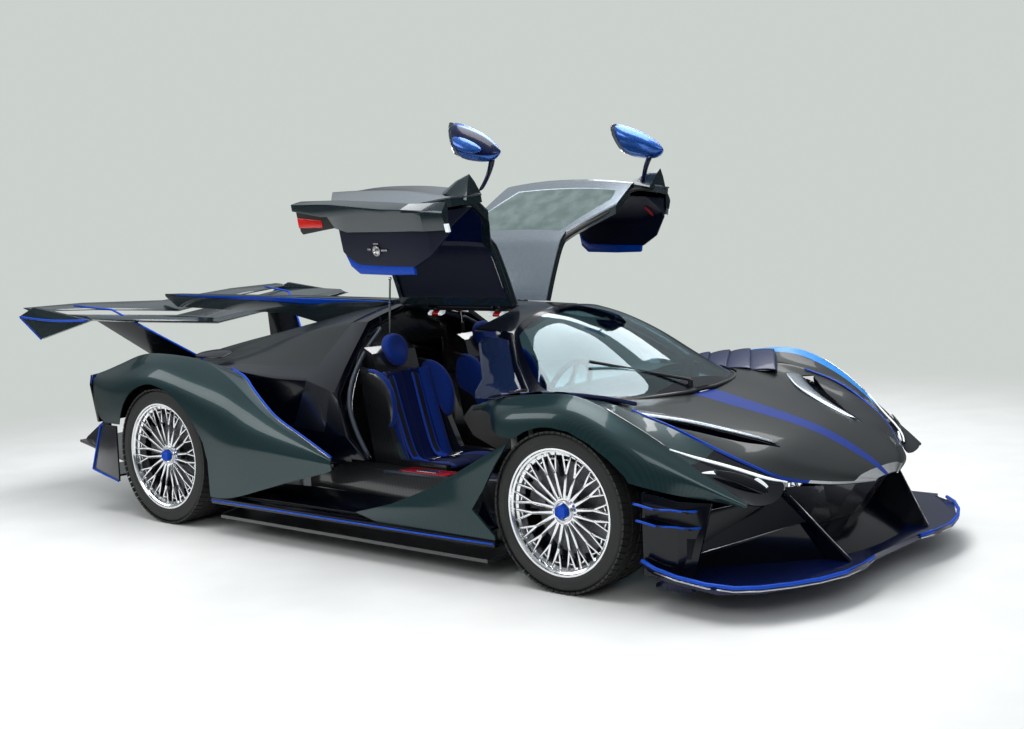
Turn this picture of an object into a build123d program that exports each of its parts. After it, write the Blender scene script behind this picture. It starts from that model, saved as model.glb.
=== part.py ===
# Hypercar with roof-hinged doors. Millimetres, +X forward, +Y left, +Z up.
# The origin is on the ground, at the middle of the car's length and width.
from build123d import *
from collections import namedtuple
from math import atan2, cos, degrees, hypot, radians, sin

# ---------------------------------------------------------------- overall
NOSE_X = 2533                # front edge of the splitter
TAIL_X = -2533               # rear tips of the wing's end plates
PANEL_GAP = 0.4              # shut line between fixed body panels
PANEL_WALL = 22              # body panel, outer skin to inner skin
GLASS_WALL = 6
FLAT_ENOUGH = 1e-6           # a patch with less twist than this is one flat face
THINNEST_SHARE = 0.28        # a panel's wall at its pointed ends, as a share of its girth
MOVING_GAP = 6               # clearance round what moves

# ---------------------------------------------------------------- wheels
FRONT_AXLE_X = 1463
REAR_AXLE_X = -1237
FRONT_WHEEL_Y = 815          # middle of the front tyre's width
REAR_WHEEL_Y = 792.5
FRONT_TYRE_RADIUS = 343.25
REAR_TYRE_RADIUS = 364.2
FRONT_TYRE_WIDTH = 255
REAR_TYRE_WIDTH = 325
FRONT_RIM_RADIUS = 262       # the tyre's seat on the rim
REAR_RIM_RADIUS = 275
FRONT_RIM_WIDTH = 242
REAR_RIM_WIDTH = 312
RIM_LIP = 8                  # how far the rim's flange stands above the seat
RIM_WALL = 12
SPOKE_PAIRS = 10
HUB_RADIUS = 62
HUB_NUT_RADIUS = 34
DISC_RADIUS = 195
DISC_THICKNESS = 34
DISC_INSET = 40              # disc's middle plane inboard of the wheel's
FRONT_ARCH_RADIUS = 362
REAR_ARCH_RADIUS = 392

# ---------------------------------------------------------------- doors
HINGE_Y = 105                # door hinge line, parallel to X
HINGE_Z = 1120
DOOR_OPEN = 80               # degrees from shut to the parked, open pose
PIN_RADIUS = 4               # hinge pins and strut pins
PIN_PLAY = 0.3
DOOR_WALL = 34               # roof and window frame of the door
DOOR_CARD_DEPTH = 96         # outer skin to the padded card, low in the door

# ---------------------------------------------------------------- steering
KINGPIN_INSET = 50           # kingpin inboard of the front tyre's middle plane
BALL_RADIUS = 16
BALL_PLAY = 0.3              # between a ball joint's housing and the upright's end

# ---------------------------------------------------------------- gas struts
STRUT_X = -152
STRUT_LOW = (300, 700)       # lower pivot (y, z)

# ================================================================ sections
# Each row is one cross section of the left half at x. Points are (y, z).
Nose = namedtuple("Nose", "x centre valley ridge")
BONNET_ROWS = [
    Nose(2462, (0, 430), (55, 428), (110, 424)),
    Nose(2395, (0, 484), (170, 478), (330, 440)),
    Nose(2274, (0, 548), (235, 538), (500, 472)),
    Nose(2136, (0, 604), (305, 574), (625, 566)),
    Nose(1940, (0, 652), (350, 622), (700, 668)),
    Nose(1780, (0, 686), (380, 656), (725, 726)),
    Nose(1600, (0, 726), (400, 694), (715, 774)),
    Nose(1440, (0, 748), (420, 716), (695, 788)),
    Nose(1150, (0, 760), (440, 735), (705, 764)),
]
Wing = namedtuple("Wing", "x ridge crest flank hem")
FENDER_ROWS = [
    Wing(2256, (735, 421), (748, 426), (758, 418), (754, 408)),
    Wing(2136, (625, 566), (782, 502), (808, 460), (785, 432)),
    Wing(1940, (700, 668), (832, 642), (905, 575), (918, 480)),
    Wing(1780, (725, 726), (872, 736), (958, 640), (966, 520)),
    Wing(1600, (715, 774), (888, 816), (966, 715), (972, 600)),
    Wing(1440, (695, 788), (884, 834), (970, 725), (974, 640)),
    Wing(1150, (705, 764), (836, 798), (940, 712), (948, 640)),
    Wing(1000, (700, 757), (772, 768), (816, 725), (812, 690)),
    Wing(925, (700, 748), (728, 752), (742, 728), (736, 704)),
    Wing(790, (684, 701), (694, 704), (700, 698), (694, 690)),
]
Cabin = namedtuple("Cabin", "x centre hinge roof_edge belt side hem")
CABIN_ROWS = [
    Cabin(-340, (0, 1112), (105, 1108), (360, 1040), (690, 780), (792, 560), (786, 376.4)),
    Cabin(-100, (0, 1128), (105, 1120), (400, 1056), (752, 748), (800, 550), (788, 376.4)),
    Cabin(200, (0, 1130), (105, 1122), (425, 1054), (788, 718), (806, 530), (786, 376.4)),
    Cabin(520, (0, 1128), (105, 1120), (432, 1042), (784, 706), (800, 510), (764, 376.4)),
    Cabin(780, (0, 1119), (105, 1112), (408, 1024), (756, 700), (768, 500), (738, 376.4)),
    Cabin(940, (0, 1085), (105, 1078), (396, 990), (740, 690), (748, 500), (730, 376.4)),
]
Screen = namedtuple("Screen", "x centre inner outer edge")
SCREEN_ROWS = [
    Screen(802, (0, 1118), (250, 1095), (340, 1062), (400, 1022)),
    Screen(934, (0, 1092), (250, 1072), (420, 1000), (533, 905)),
    Screen(1074, (0, 1042), (250, 1022), (480, 925), (628, 806)),
    Screen(1150, (0, 1005), (250, 985), (510, 870), (672, 756)),
    Screen(1290, (0, 925), (250, 905), (460, 820), (615, 752)),
    Screen(1425, (0, 842), (240, 828), (400, 780), (508, 750)),
    Screen(1515, (0, 786), (160, 778), (270, 760), (350, 748)),
    Screen(1568, (0, 750), (40, 749), (70, 748), (95, 747)),
]
Pillar = namedtuple("Pillar", "x inside outside")
PILLAR_ROWS = [
    Pillar(740, (404, 1028), (438, 1004)),
    Pillar(802, (406, 1018), (440, 992)),
    Pillar(934, (538, 901), (568, 878)),
    Pillar(1074, (633, 802), (660, 780)),
    Pillar(1085, (640, 793), (667, 772)),
]
SideLight = namedtuple("SideLight", "x top bottom")
SIDE_LIGHT_ROWS = [
    SideLight(640, (434, 1001), (470, 965)),
    SideLight(762, (440, 996), (640, 800)),
    SideLight(802, (440, 989), (684, 752)),
    SideLight(934, (564, 877), (690, 756)),
    SideLight(1040, (640, 796), (692, 762)),
]
Cover = namedtuple("Cover", "x centre crown belt duct")
COVER_ROWS = [
    Cover(-340, (0, 1112), (360, 1040), (690, 780), (640, 420)),
    Cover(-654, (0, 1069), (332, 994), (668, 776), (640, 430)),
    Cover(-910, (0, 1014), (312, 936), (642, 792), (632, 700)),
    Cover(-1213, (0, 953), (292, 873), (614, 824), (600, 760)),
    Cover(-1450, (0, 908), (280, 836), (598, 824), (588, 780)),
    Cover(-1700, (0, 858), (268, 804), (580, 808), (572, 770)),
    Cover(-1960, (0, 798), (256, 760), (556, 768), (550, 735)),
    Cover(-2068, (0, 770), (252, 742), (548, 746), (544, 718)),
]
Quarter = namedtuple("Quarter", "x rim crest flank hem")
QUARTER_ROWS = [
    Quarter(122, (962, 470), (966, 458), (974, 436), (966, 398)),
    Quarter(-340, (894, 612), (938, 604), (984, 470), (980, 280)),
    Quarter(-654, (800, 770), (896, 778), (990, 560), (986, 200)),
    Quarter(-910, (642, 792), (858, 878), (992, 690), (990, 182)),
    Quarter(-1213, (614, 824), (890, 906), (997.5, 752), (996, 600)),
    Quarter(-1450, (598, 824), (868, 898), (990, 748), (988, 520)),
    Quarter(-1700, (580, 808), (770, 858), (950, 738), (952, 508)),
    Quarter(-1960, (556, 768), (690, 790), (850, 736), (866, 500)),
    Quarter(-2068, (548, 746), (640, 750), (800, 742), (806, 690)),
]
# door outline in side view, shut: (x, z), from the roof's front corner round to its rear corner
DOOR_OUTLINE = [
    (584, 1180), (584, 996), (762, 822), (765, 690), (905, 640), (850, 500),
    (690, 382), (215, 382), (60, 540), (-45, 730), (-130, 920), (-180, 1048), (-215, 1180),
]
# side window in side view, shut
WINDOW_OUTLINE = [(545, 1000), (712, 806), (700, 752), (60, 780), (-70, 890), (-105, 1000)]


def ring(x, points):
    """Corners of a closed outline of (y, z) points in the plane at x."""
    return [(x, y, z) for y, z in points]


def flat_faces(a, b, c, d, shortest):
    """Outline of a flat four-cornered patch, or two for a twisted one, folded alike left and right."""
    corners = [Vector(*corner) for corner in (a, b, c, d)]
    normal = (corners[1] - corners[0]).cross(corners[3] - corners[0])
    if abs((corners[2] - corners[0]).dot(normal)) < FLAT_ENOUGH * max(normal.length, 1):
        return [corners]
    if shortest:
        first = (corners[2] - corners[0]).length < (corners[3] - corners[1]).length
    else:
        first = sum(corner.Y for corner in corners) > 0
    if first:
        return [[corners[0], corners[1], corners[2]], [corners[0], corners[2], corners[3]]]
    return [[corners[0], corners[1], corners[3]], [corners[1], corners[2], corners[3]]]


def folded(rings, shortest=False):
    """Solid of flat faces lofted through closed rings of corners; shortest folds along shorter diagonals."""
    outlines = [[Vector(*corner) for corner in rings[0]], [Vector(*corner) for corner in rings[-1]]]
    for near, far in zip(rings, rings[1:]):
        for index, corner in enumerate(near):
            before = index - 1
            outlines += flat_faces(near[before], corner, far[index], far[before], shortest)
    solid = Solid(Shell([Face(Wire.make_polygon(outline, close=True)) for outline in outlines]))
    return solid if solid.volume > 0 else folded(rings[::-1], shortest)


def inner_chain(chain, wall):
    """The chain moved inwards by wall, square to itself; a short chain gets a thinner wall."""
    inner = []
    reach = sum(hypot(b[0] - a[0], b[1] - a[1]) for a, b in zip(chain, chain[1:]))
    wall = min(wall, reach * THINNEST_SHARE)
    for index, (y, z) in enumerate(chain):
        y0, z0 = chain[max(index - 1, 0)]
        y1, z1 = chain[min(index + 1, len(chain) - 1)]
        length = hypot(y1 - y0, z1 - z0)
        inner.append((y + wall * (z1 - z0) / length, z - wall * (y1 - y0) / length))
    return inner


def trimmed(chain, start, end):
    """The chain with its ends pulled in by start and end millimetres."""
    chain = list(chain)
    for at, towards, cut in ((0, 1, start), (-1, -2, end)):
        (y, z), (y1, z1) = chain[at], chain[towards]
        share = cut / hypot(y1 - y, z1 - z)
        chain[at] = (y + (y1 - y) * share, z + (z1 - z) * share)
    return chain


def skin(rows, names, wall=PANEL_WALL, trim=(0, 0), x_trim=0):
    """Left-hand panel lofted through the named columns of the rows."""
    rings = []
    for index, row in enumerate(rows):
        chain = trimmed([getattr(row, name) for name in names], *trim)
        x = row.x
        if index == 0:
            x -= x_trim
        if index == len(rows) - 1:
            x += x_trim
        rings.append(ring(x, chain + inner_chain(chain, wall)[::-1]))
    return folded(rings)


def wide_skin(rows, names, wall=PANEL_WALL, trim=0, x_trim=0):
    """Panel across the whole car, lofted through both halves of the named columns."""
    rings = []
    for index, row in enumerate(rows):
        half = trimmed([getattr(row, name) for name in names], 0, trim)
        chain = [(-y, z) for y, z in half[:0:-1]] + half
        x = row.x
        if index == 0:
            x -= x_trim
        if index == len(rows) - 1:
            x += x_trim
        rings.append(ring(x, chain + inner_chain(chain, wall)[::-1]))
    return folded(rings)


def mirrored(shape):
    return shape.mirror(Plane.XZ)


def grown(outline, by):
    """Side-view outline moved outwards by a clearance."""
    face = make_face(Polyline(*outline, close=True))
    return offset(face, by, kind=Kind.INTERSECTION) if by else face


def side_prism(outline, y0, y1, by=0):
    """Prism along Y, from y0 to y1, of an (x, z) outline."""
    face = Plane.XZ * grown(outline, by)
    return Pos(0, y1, 0) * extrude(face, y1 - y0)


def plan_plate(outline, z0, z1):
    """Plate between two heights, of an (x, y) outline."""
    return Pos(0, 0, z0) * extrude(make_face(Polyline(*outline, close=True)), z1 - z0)


def box(x0, x1, y0, y1, z0, z1):
    return Pos((x0 + x1) / 2, (y0 + y1) / 2, (z0 + z1) / 2) * Box(x1 - x0, y1 - y0, z1 - z0)


def disc_y(radius, x, y0, y1, z):
    """Cylinder along Y."""
    return Pos(x, (y0 + y1) / 2, z) * Rot(90, 0, 0) * Cylinder(radius, y1 - y0)


def along_x(radius, x0, x1, y=HINGE_Y, z=HINGE_Z):
    """Cylinder along X."""
    return Pos((x0 + x1) / 2, y, z) * Rot(0, 90, 0) * Cylinder(radius, x1 - x0)


def rod(start, end, radius, overrun=0):
    """Eight-sided bar between two points; it can run on past both, so that a bend of two bars closes."""
    way = Vector(*end) - Vector(*start)
    begin = Vector(*start) - way.normalized() * overrun
    return extrude(Plane(origin=begin, z_dir=way) * RegularPolygon(radius, 8), way.length + 2 * overrun)


def largest(shape):
    return max(shape.solids(), key=lambda solid: solid.volume)


def save(name, *shapes):
    """One STEP for the node; its solids do not touch each other."""
    solids = [solid for shape in shapes for solid in shape.solids()]
    body = solids[0] if len(solids) == 1 else Compound(children=solids)
    export_step(body, f"parts/{name}.step")
    print(f"{name:24s} {len(solids)} solids")


# ================================================================ cuts
def arch_cut(axle_x, tyre_radius, arch_radius, flare, y0=480, y1=1100):
    """Wheel opening: a round arch with a flare towards the ground on one side."""
    hole = disc_y(arch_radius, axle_x, y0, y1, tyre_radius)
    foot = [(axle_x - arch_radius, tyre_radius), (axle_x + arch_radius, tyre_radius),
            (axle_x + arch_radius, -10), (axle_x - arch_radius, -10)]
    return hole + side_prism(foot, y0, y1) + side_prism(flare, y0, y1)


FRONT_FLARE = [(1463, 700), (1640, 655), (1780, 590), (1864, 500), (1880, 300), (1880, -10), (1463, -10)]
REAR_FLARE = [(-1237, 752), (-1060, 710), (-880, 600), (-792, 500), (-788, 170), (-788, -10), (-1237, -10)]
front_arch = arch_cut(FRONT_AXLE_X, FRONT_TYRE_RADIUS, FRONT_ARCH_RADIUS, FRONT_FLARE)
rear_arch = arch_cut(REAR_AXLE_X, REAR_TYRE_RADIUS, REAR_ARCH_RADIUS, REAR_FLARE)

# ================================================================ front body
SCREEN_BASE = [(1575, 0), (1562, 180), (1515, 358), (1425, 516), (1290, 624), (1150, 690), (880, 698)]


def plan_of(line, x_rear, by=0):
    """Plan outline across the car, from a left-hand line run back to x_rear."""
    half = [(x + by, y + (by if y else 0)) for x, y in line]
    return half + [(x_rear, half[-1][1]), (x_rear, -half[-1][1])] + [(x, -y) for x, y in half[:0:-1]]


cabin_prism = plan_plate(plan_of(SCREEN_BASE, 600), 500, 1300)
bonnet = wide_skin(BONNET_ROWS, ["centre", "valley", "ridge"], trim=PANEL_GAP / 2) - cabin_prism
VENT_OUTLINE = [(2120, 330), (1990, 505), (1850, 660), (1800, 690), (1800, 640), (1950, 480), (2090, 322)]
vent_cut = plan_plate(VENT_OUTLINE, 400, 900)
bonnet = bonnet - vent_cut - mirrored(vent_cut)
bonnet_room = wide_skin(BONNET_ROWS, ["centre", "valley", "ridge"], wall=3 * PANEL_WALL, trim=-PANEL_GAP)
fender = skin(FENDER_ROWS, ["ridge", "crest", "flank", "hem"]) - front_arch - cabin_prism - bonnet_room
LAMP_SINK = 10               # depth of the headlamp's unit in the wing
LAMP_OUTLINE = [(2235, 545), (2180, 640), (2090, 700), (1900, 770), (1900, 745), (2080, 660), (2175, 590)]
lamp_cut = plan_plate(LAMP_OUTLINE, 300, 900)
lamp_seat = skin(FENDER_ROWS, ["ridge", "crest"], wall=LAMP_SINK, trim=(PANEL_GAP / 2, 0))
headlamp = (lamp_seat & lamp_cut) - bonnet_room
fender = largest(fender - headlamp)
save("bonnet", bonnet)
save("front_fenders", fender, mirrored(fender))
save("headlamps", headlamp, mirrored(headlamp))

# ================================================================ tub and floor
FLOOR_Z = 95                 # underside of the tub
FLOOR_THICKNESS = 30
SILL_TOP = 376
SILL_OUTSIDE = [(-338, 704), (640, 722), (900, 690), (1085, 500), (1250, 470), (1760, 400)]
SILL_INSIDE = [(-314, 590), (620, 590), (1060, 440), (1250, 430), (1720, 365)]
FOOTBOX_TOP = 600
FOOTBOX_WALL = 14
SCUTTLE_X = 1085             # rear end of the footbox, under the windscreen
BULKHEAD_X = (-338, -314)
POST = (1035, 1070, 640, 720)  # A-pillar post: x, x, y, y
POST_TOP = 800               # before it is cut back to the panels it carries


def across(line):
    """Closed plan outline across the car from its left-hand line."""
    return list(line) + [(x, -y) for x, y in line[::-1]]


tub = plan_plate(across(SILL_OUTSIDE), FLOOR_Z, SILL_TOP)
tub -= plan_plate(across(SILL_INSIDE), FLOOR_Z + FLOOR_THICKNESS, SILL_TOP + 1)
footbox = plan_plate(across(SILL_OUTSIDE[3:]), SILL_TOP - 1, FOOTBOX_TOP)
footbox -= plan_plate(across([(SCUTTLE_X - 1, 490), (1250, 456), (1746, 386)]), SILL_TOP - 2,
                      FOOTBOX_TOP - FOOTBOX_WALL)
BULKHEAD = [(700, 370), (655, 560), (655, 740), (335, 1000), (105, 1073), (0, 1077.6)]
bulkhead_outline = BULKHEAD + [(-y, z) for y, z in BULKHEAD[-2::-1]]
bulkhead_face = Plane.YZ * make_face(Polyline(*bulkhead_outline, close=True))
bulkhead = Pos(BULKHEAD_X[0], 0, 0) * extrude(bulkhead_face, BULKHEAD_X[1] - BULKHEAD_X[0])
REAR_LIGHT = [(300, 720), (300, 900), (-300, 900), (-300, 720)]
rear_light_hole = Plane.YZ * make_face(Polyline(*REAR_LIGHT, close=True))
bulkhead -= Pos(BULKHEAD_X[0] - 1, 0, 0) * extrude(rear_light_hole, 30)
brace = rod((1058, 665, 560), (1100, 480, 560), 14)
strut_bracket = box(BULKHEAD_X[1] - 1, STRUT_X - 16, STRUT_LOW[0] - 14, STRUT_LOW[0] + 14,
                    STRUT_LOW[1] - 14, STRUT_LOW[1] + 14)
strut_bracket += along_x(PIN_RADIUS, STRUT_X - 20, STRUT_X + 4, *STRUT_LOW)
tub = tub + footbox + bulkhead + brace + mirrored(brace) + strut_bracket + mirrored(strut_bracket)

UNDERFLOOR_TOP = FLOOR_Z - PANEL_GAP
UNDERFLOOR_THICKNESS = 16
UNDERFLOOR = [(-1480, 560), (-1000, 560), (-860, 700), (-780, 940), (1060, 940), (1085, 520), (1850, 480),
              (1905, 880), (1906, 860)]
underfloor = plan_plate(across(UNDERFLOOR), UNDERFLOOR_TOP - UNDERFLOOR_THICKNESS, UNDERFLOOR_TOP)
JACK_PAD_RADIUS = 36
JACK_PAD_DROP = 8            # how far the pad stands below the floor
JACK_PADS = [(930, 660), (-700, 620)]
for pad_x, pad_y in JACK_PADS:
    jack_pad = Pos(pad_x, pad_y, UNDERFLOOR_TOP - UNDERFLOOR_THICKNESS - JACK_PAD_DROP / 2 + 1)
    jack_pad *= Cylinder(JACK_PAD_RADIUS, JACK_PAD_DROP + 2)
    underfloor += jack_pad
    underfloor += mirrored(jack_pad)

# ================================================================ roof frame and glass
HEADER_FRONT = 801.6
header_keep = box(-341, HEADER_FRONT, -900, 900, 300, 1300)
low_front = box(480, 1000, -900, 900, 300, 1024)
rail_path = box(70, 220, 650, 900, 300, 430)
SPINE_EDGE = HINGE_Y - MOVING_GAP / 2
DOOR_EDGE = HINGE_Y + MOVING_GAP / 2
HINGE_XS = (11, 431)
HINGE_LENGTH = 60
HINGE_RADIUS = 8
door_hole = side_prism(DOOR_OUTLINE, SPINE_EDGE, 1100, MOVING_GAP)
roof_frame = wide_skin(CABIN_ROWS, ["centre", "hinge", "roof_edge", "belt", "side", "hem"], wall=DOOR_WALL)
roof_frame = (roof_frame & header_keep) - low_front - door_hole - mirrored(door_hole)
roof_frame = roof_frame - rail_path - mirrored(rail_path)
pillar = skin(PILLAR_ROWS, ["inside", "outside"], wall=26)
roof_frame = roof_frame + pillar + mirrored(pillar)


def hinge_frame_half(x):
    """Fixed knuckles, their webs and the pin of one hinge."""
    ends = [(x - HINGE_LENGTH / 2, x - HINGE_LENGTH / 4), (x + HINGE_LENGTH / 4, x + HINGE_LENGTH / 2)]
    shape = along_x(PIN_RADIUS, ends[0][0], ends[1][1])
    for x0, x1 in ends:
        shape += along_x(HINGE_RADIUS, x0, x1)
        shape += box(x0, x1, SPINE_EDGE - 12, HINGE_Y, HINGE_Z - 16, HINGE_Z)
    return shape


def hinge_door_half(x):
    """Moving knuckle of one hinge, with its web to the door."""
    reach = HINGE_LENGTH / 4 - PIN_PLAY
    shape = along_x(HINGE_RADIUS, x - reach, x + reach)
    shape += box(x - reach, x + reach, HINGE_Y, DOOR_EDGE + 16, HINGE_Z - 18, HINGE_Z - 1)
    return shape - along_x(PIN_RADIUS + PIN_PLAY, x - 20, x + 20)


for hinge_x in HINGE_XS:
    relief = along_x(HINGE_RADIUS + 4, hinge_x - 15, hinge_x + 15)
    relief += box(hinge_x - 15, hinge_x + 15, SPINE_EDGE - 10, HINGE_Y, HINGE_Z - 30, HINGE_Z)
    roof_frame = roof_frame - relief - mirrored(relief)
    half = hinge_frame_half(hinge_x)
    roof_frame = roof_frame + half + mirrored(half)

windscreen = wide_skin(SCREEN_ROWS, ["centre", "inner", "outer", "edge"], wall=GLASS_WALL)
side_light = skin(SIDE_LIGHT_ROWS, ["top", "bottom"], wall=GLASS_WALL)
side_light = largest(side_light - side_prism(DOOR_OUTLINE, SPINE_EDGE, 1100, 3 * MOVING_GAP) - roof_frame)
post = largest(box(*POST, SILL_TOP - 30, POST_TOP) - roof_frame - fender - side_light - windscreen)
tub = tub + post + mirrored(post)

# ================================================================ tail
cover = wide_skin(COVER_ROWS, ["centre", "crown", "belt", "duct"], x_trim=PANEL_GAP)
quarter = skin(QUARTER_ROWS, ["rim", "crest", "flank", "hem"], trim=(PANEL_GAP, 0), x_trim=PANEL_GAP)
quarter -= rear_arch
HEM_SWEEP = 1058             # radius about the hinge that the door's bottom rail passes inside
quarter -= along_x(HEM_SWEEP, -15, 140)
save("tub", tub)
save("underfloor", underfloor)
save("roof_frame", roof_frame)
save("glazing", windscreen, side_light, mirrored(side_light))
save("engine_cover", cover)
save("rear_quarters", quarter, mirrored(quarter))
Floor = namedtuple("Floor", "x inboard outboard")
INTAKE_FRONT_ROWS = [Floor(58, (822, 430), (962, 428)), Floor(-341, (806, 424), (990, 440))]
INTAKE_REAR_ROWS = [Floor(-341, (650, 424), (990, 440)), Floor(-654, (650, 430), (990, 500)),
                    Floor(-800, (648, 560), (990, 600))]
intake_floor = skin(INTAKE_FRONT_ROWS, ["inboard", "outboard"], wall=6)
intake_floor += skin(INTAKE_REAR_ROWS, ["inboard", "outboard"], wall=6)
intake_floor = largest(intake_floor - quarter - cover - roof_frame - tub)
save("intake_floors", intake_floor, mirrored(intake_floor))

# ================================================================ nose and splitter
def curtain(pairs, depth):
    """Sheet lofted across the car between upper and lower edge points, depth thick towards the rear."""
    rings = []
    for upper, lower in pairs:
        back = [(x - depth, y, z) for x, y, z in (lower, upper)]
        rings.append([upper, lower] + back)
    return folded(rings, shortest=True)


def fence(edges, thickness):
    """Upright sheet lofted between edge lines of two points each, thick across the car."""
    rings = []
    for start, end in edges:
        sides = [[(x, y + side, z) for x, y, z in (start, end)] for side in (-thickness / 2, thickness / 2)]
        rings.append(sides[0] + sides[1][::-1])
    return folded(rings)


def both_sides(pairs):
    """Right-hand copies, then the left-hand pairs."""
    right = [tuple((x, -y, z) for x, y, z in pair) for pair in pairs if pair[0][1] > 0]
    return right[::-1] + pairs


GRILLE_DEPTH = 8
GRILLE_EDGES = [((2430, 0, 408), (2300, 0, 245)), ((2400, 150, 410), (2285, 150, 245)),
                ((2335, 300, 424), (2245, 290, 245)), ((2262, 460.2, 440), (2190, 387.6, 250))]
grille = curtain(both_sides(GRILLE_EDGES), GRILLE_DEPTH)
CHIN_EDGES = [((2300, 0, 244), (2440, 0, 137.8)), ((2285, 150, 244), (2430, 150, 137.8)),
              ((2245, 290, 244), (2400, 290, 137.8)), ((2190, 392, 249), (2360, 349.6, 137.8))]
chin = curtain(both_sides(CHIN_EDGES), 3 * GRILLE_DEPTH)

SPLITTER_Z = 112
SPLITTER_THICKNESS = 25
SPLITTER_OUTLINE = [(1907, 875), (2020, 905), (2240, 950), (2369, 851), (2488, 616), (NOSE_X - 4, 470),
                    (NOSE_X, 330), (NOSE_X - 33, 200)]
splitter = plan_plate(across(SPLITTER_OUTLINE), SPLITTER_Z, SPLITTER_Z + SPLITTER_THICKNESS)
SPLITTER_STEP = across([(1906.4, 860), (2060, 860)])
splitter += plan_plate(SPLITTER_STEP, UNDERFLOOR_TOP - UNDERFLOOR_THICKNESS, SPLITTER_Z + 1)
Wingtip = namedtuple("Wingtip", "x inboard outboard")
SPLITTER_TIPS = [
    Wingtip(2240, (880, 124), (962, 146)),
    Wingtip(2115, (870, 124), (955, 148)),
    Wingtip(1977, (860, 126), (952, 170)),
    Wingtip(1906, (860, 146), (952, 196)),
    Wingtip(1886, (866, 160), (952, 206)),
]
splitter_tip = skin(SPLITTER_TIPS, ["inboard", "outboard"], wall=14)
splitter += splitter_tip + mirrored(splitter_tip)
for strake_y in (845, 800, 755):
    strake = side_prism([(1915, 113), (2070, 113), (2040, 62), (1935, 62)], strake_y - 3, strake_y + 3)
    splitter += strake + mirrored(strake)


def plate(points, thickness):
    """Flat plate of a polygon of 3-D points, thick towards its own normal."""
    face = Face(Wire.make_polygon(points, close=True))
    return extrude(face, thickness)


BUMPER_FLOOR = SPLITTER_Z + SPLITTER_THICKNESS + PANEL_GAP
STRAKE_OUTLINE = [(2255, 455, 425), (2480, 345, BUMPER_FLOOR), (2150, 345, BUMPER_FLOOR), (2110, 455, 425)]
strake_plate = plate(STRAKE_OUTLINE, 9)
SIDE_PLATE_EDGES = [
    [(1890, 930, 470), (1890, 930, BUMPER_FLOOR)],
    [(2040, 900, 440), (2040, 915, BUMPER_FLOOR)],
    [(2130, 800, 425), (2090, 880, BUMPER_FLOOR)],
]
side_plate = fence(SIDE_PLATE_EDGES, 10)
wheel_shield = box(1888, 1900, 500, 930, BUMPER_FLOOR, 470)
UPPER_VANE = [((2225, 452, 405), (2320, 411.5, 300)), ((2030, 903, 380), (2040, 912, 215))]
LOWER_VANE = [((2290, 406, 285), (2370, 350, BUMPER_FLOOR)), ((1895, 860, 250), (1895, 850, BUMPER_FLOOR))]
bumper_half = wheel_shield + side_plate + strake_plate + curtain(UPPER_VANE, 10) + curtain(LOWER_VANE, 10)
CANARD_OUTLINE = [(0, 838), (-60, 899), (-200, 925), (-205, 990), (-110, 980), (-15, 905)]
CANARD_PITCH = 10
for canard_x, canard_z in ((2100, 330), (2090, 395)):
    bumper_half += Pos(canard_x, 0, canard_z) * Rot(0, CANARD_PITCH, 0) * plan_plate(CANARD_OUTLINE, 0, 8)
save("front_grille", grille)
save("front_splitter", splitter)
bumper_half = bumper_half - splitter - grille
front_bumper = (chin - splitter - grille) + bumper_half + mirrored(bumper_half)
save("front_bumper", front_bumper)

# ================================================================ sides
SKIRT_TOP = 195
SKIRT_DROP = 30
Shelf = namedtuple("Shelf", "x inboard outboard")
SHELF_ROWS = [Shelf(1060, (724, 236), (900, 226)), Shelf(640, (726, 250), (930, 214)),
              Shelf(-300, (726, 250), (940, 214)), Shelf(-784, (726, 236), (940, 205))]
shelf = skin(SHELF_ROWS, ["inboard", "outboard"], wall=12) - quarter
SKIRT_EDGE = [(1140, 978), (640, 990), (-784, 990), (-784, 930), (640, 920), (1060, 890), (1140, 952)]
skirt = (shelf + plan_plate(SKIRT_EDGE, SKIRT_TOP - SKIRT_DROP, SKIRT_TOP)) - quarter
BLADE_FOOT = SKIRT_TOP + PANEL_GAP
BLADE_OUTLINE = [(1235, 623), (1150, 512), (1085, 410), (1015, 318), (1140, 215), (1140, BLADE_FOOT),
                 (416, BLADE_FOOT), (275, 228), (520, 292), (800, 400), (1080, 548)]
side_blade = side_prism(BLADE_OUTLINE, 962, 974)
notch_strake = side_prism([(1060, 220), (930, 220), (985, 330)], 860, 870)
skirt = largest(skirt + notch_strake)

# ================================================================ rear end
REAR_PANEL = (-2090, -2068.8)
REAR_OUTLINE = [(812, 690), (800, 745), (640, 750), (548, 746), (252, 742), (0, 770)]
rear_face = REAR_OUTLINE + [(-y, z) for y, z in REAR_OUTLINE[-2::-1]] + [(-780, 470), (780, 470)]
rear_panel = Pos(REAR_PANEL[0], 0, 0) * extrude(Plane.YZ * make_face(Polyline(*rear_face, close=True)),
                                                REAR_PANEL[1] - REAR_PANEL[0])
EXHAUST_RADIUS = 52
EXHAUST_Y = 68
EXHAUST_Z = 600
LAMP_DEPTH = 12
tail_lamp = box(REAR_PANEL[0] - LAMP_DEPTH, REAR_PANEL[0], 330, 770, 680, 712)
exhaust_pipes = []
for pipe_y in (-EXHAUST_Y, EXHAUST_Y):
    rear_panel -= along_x(EXHAUST_RADIUS + PANEL_GAP, -2150, -2000, pipe_y, EXHAUST_Z)
    exhaust_pipes.append(along_x(EXHAUST_RADIUS, -2135, -1961, pipe_y, EXHAUST_Z)
                         - along_x(EXHAUST_RADIUS - 4, -2136, -1980, pipe_y, EXHAUST_Z))
TOW_EYE = (-450, 600)        # threaded hole for the towing eye (y, z)
TOW_EYE_RADIUS = 10
rear_panel -= along_x(TOW_EYE_RADIUS, -2150, -2000, *TOW_EYE)
Ramp = namedtuple("Ramp", "x middle edge")
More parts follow.
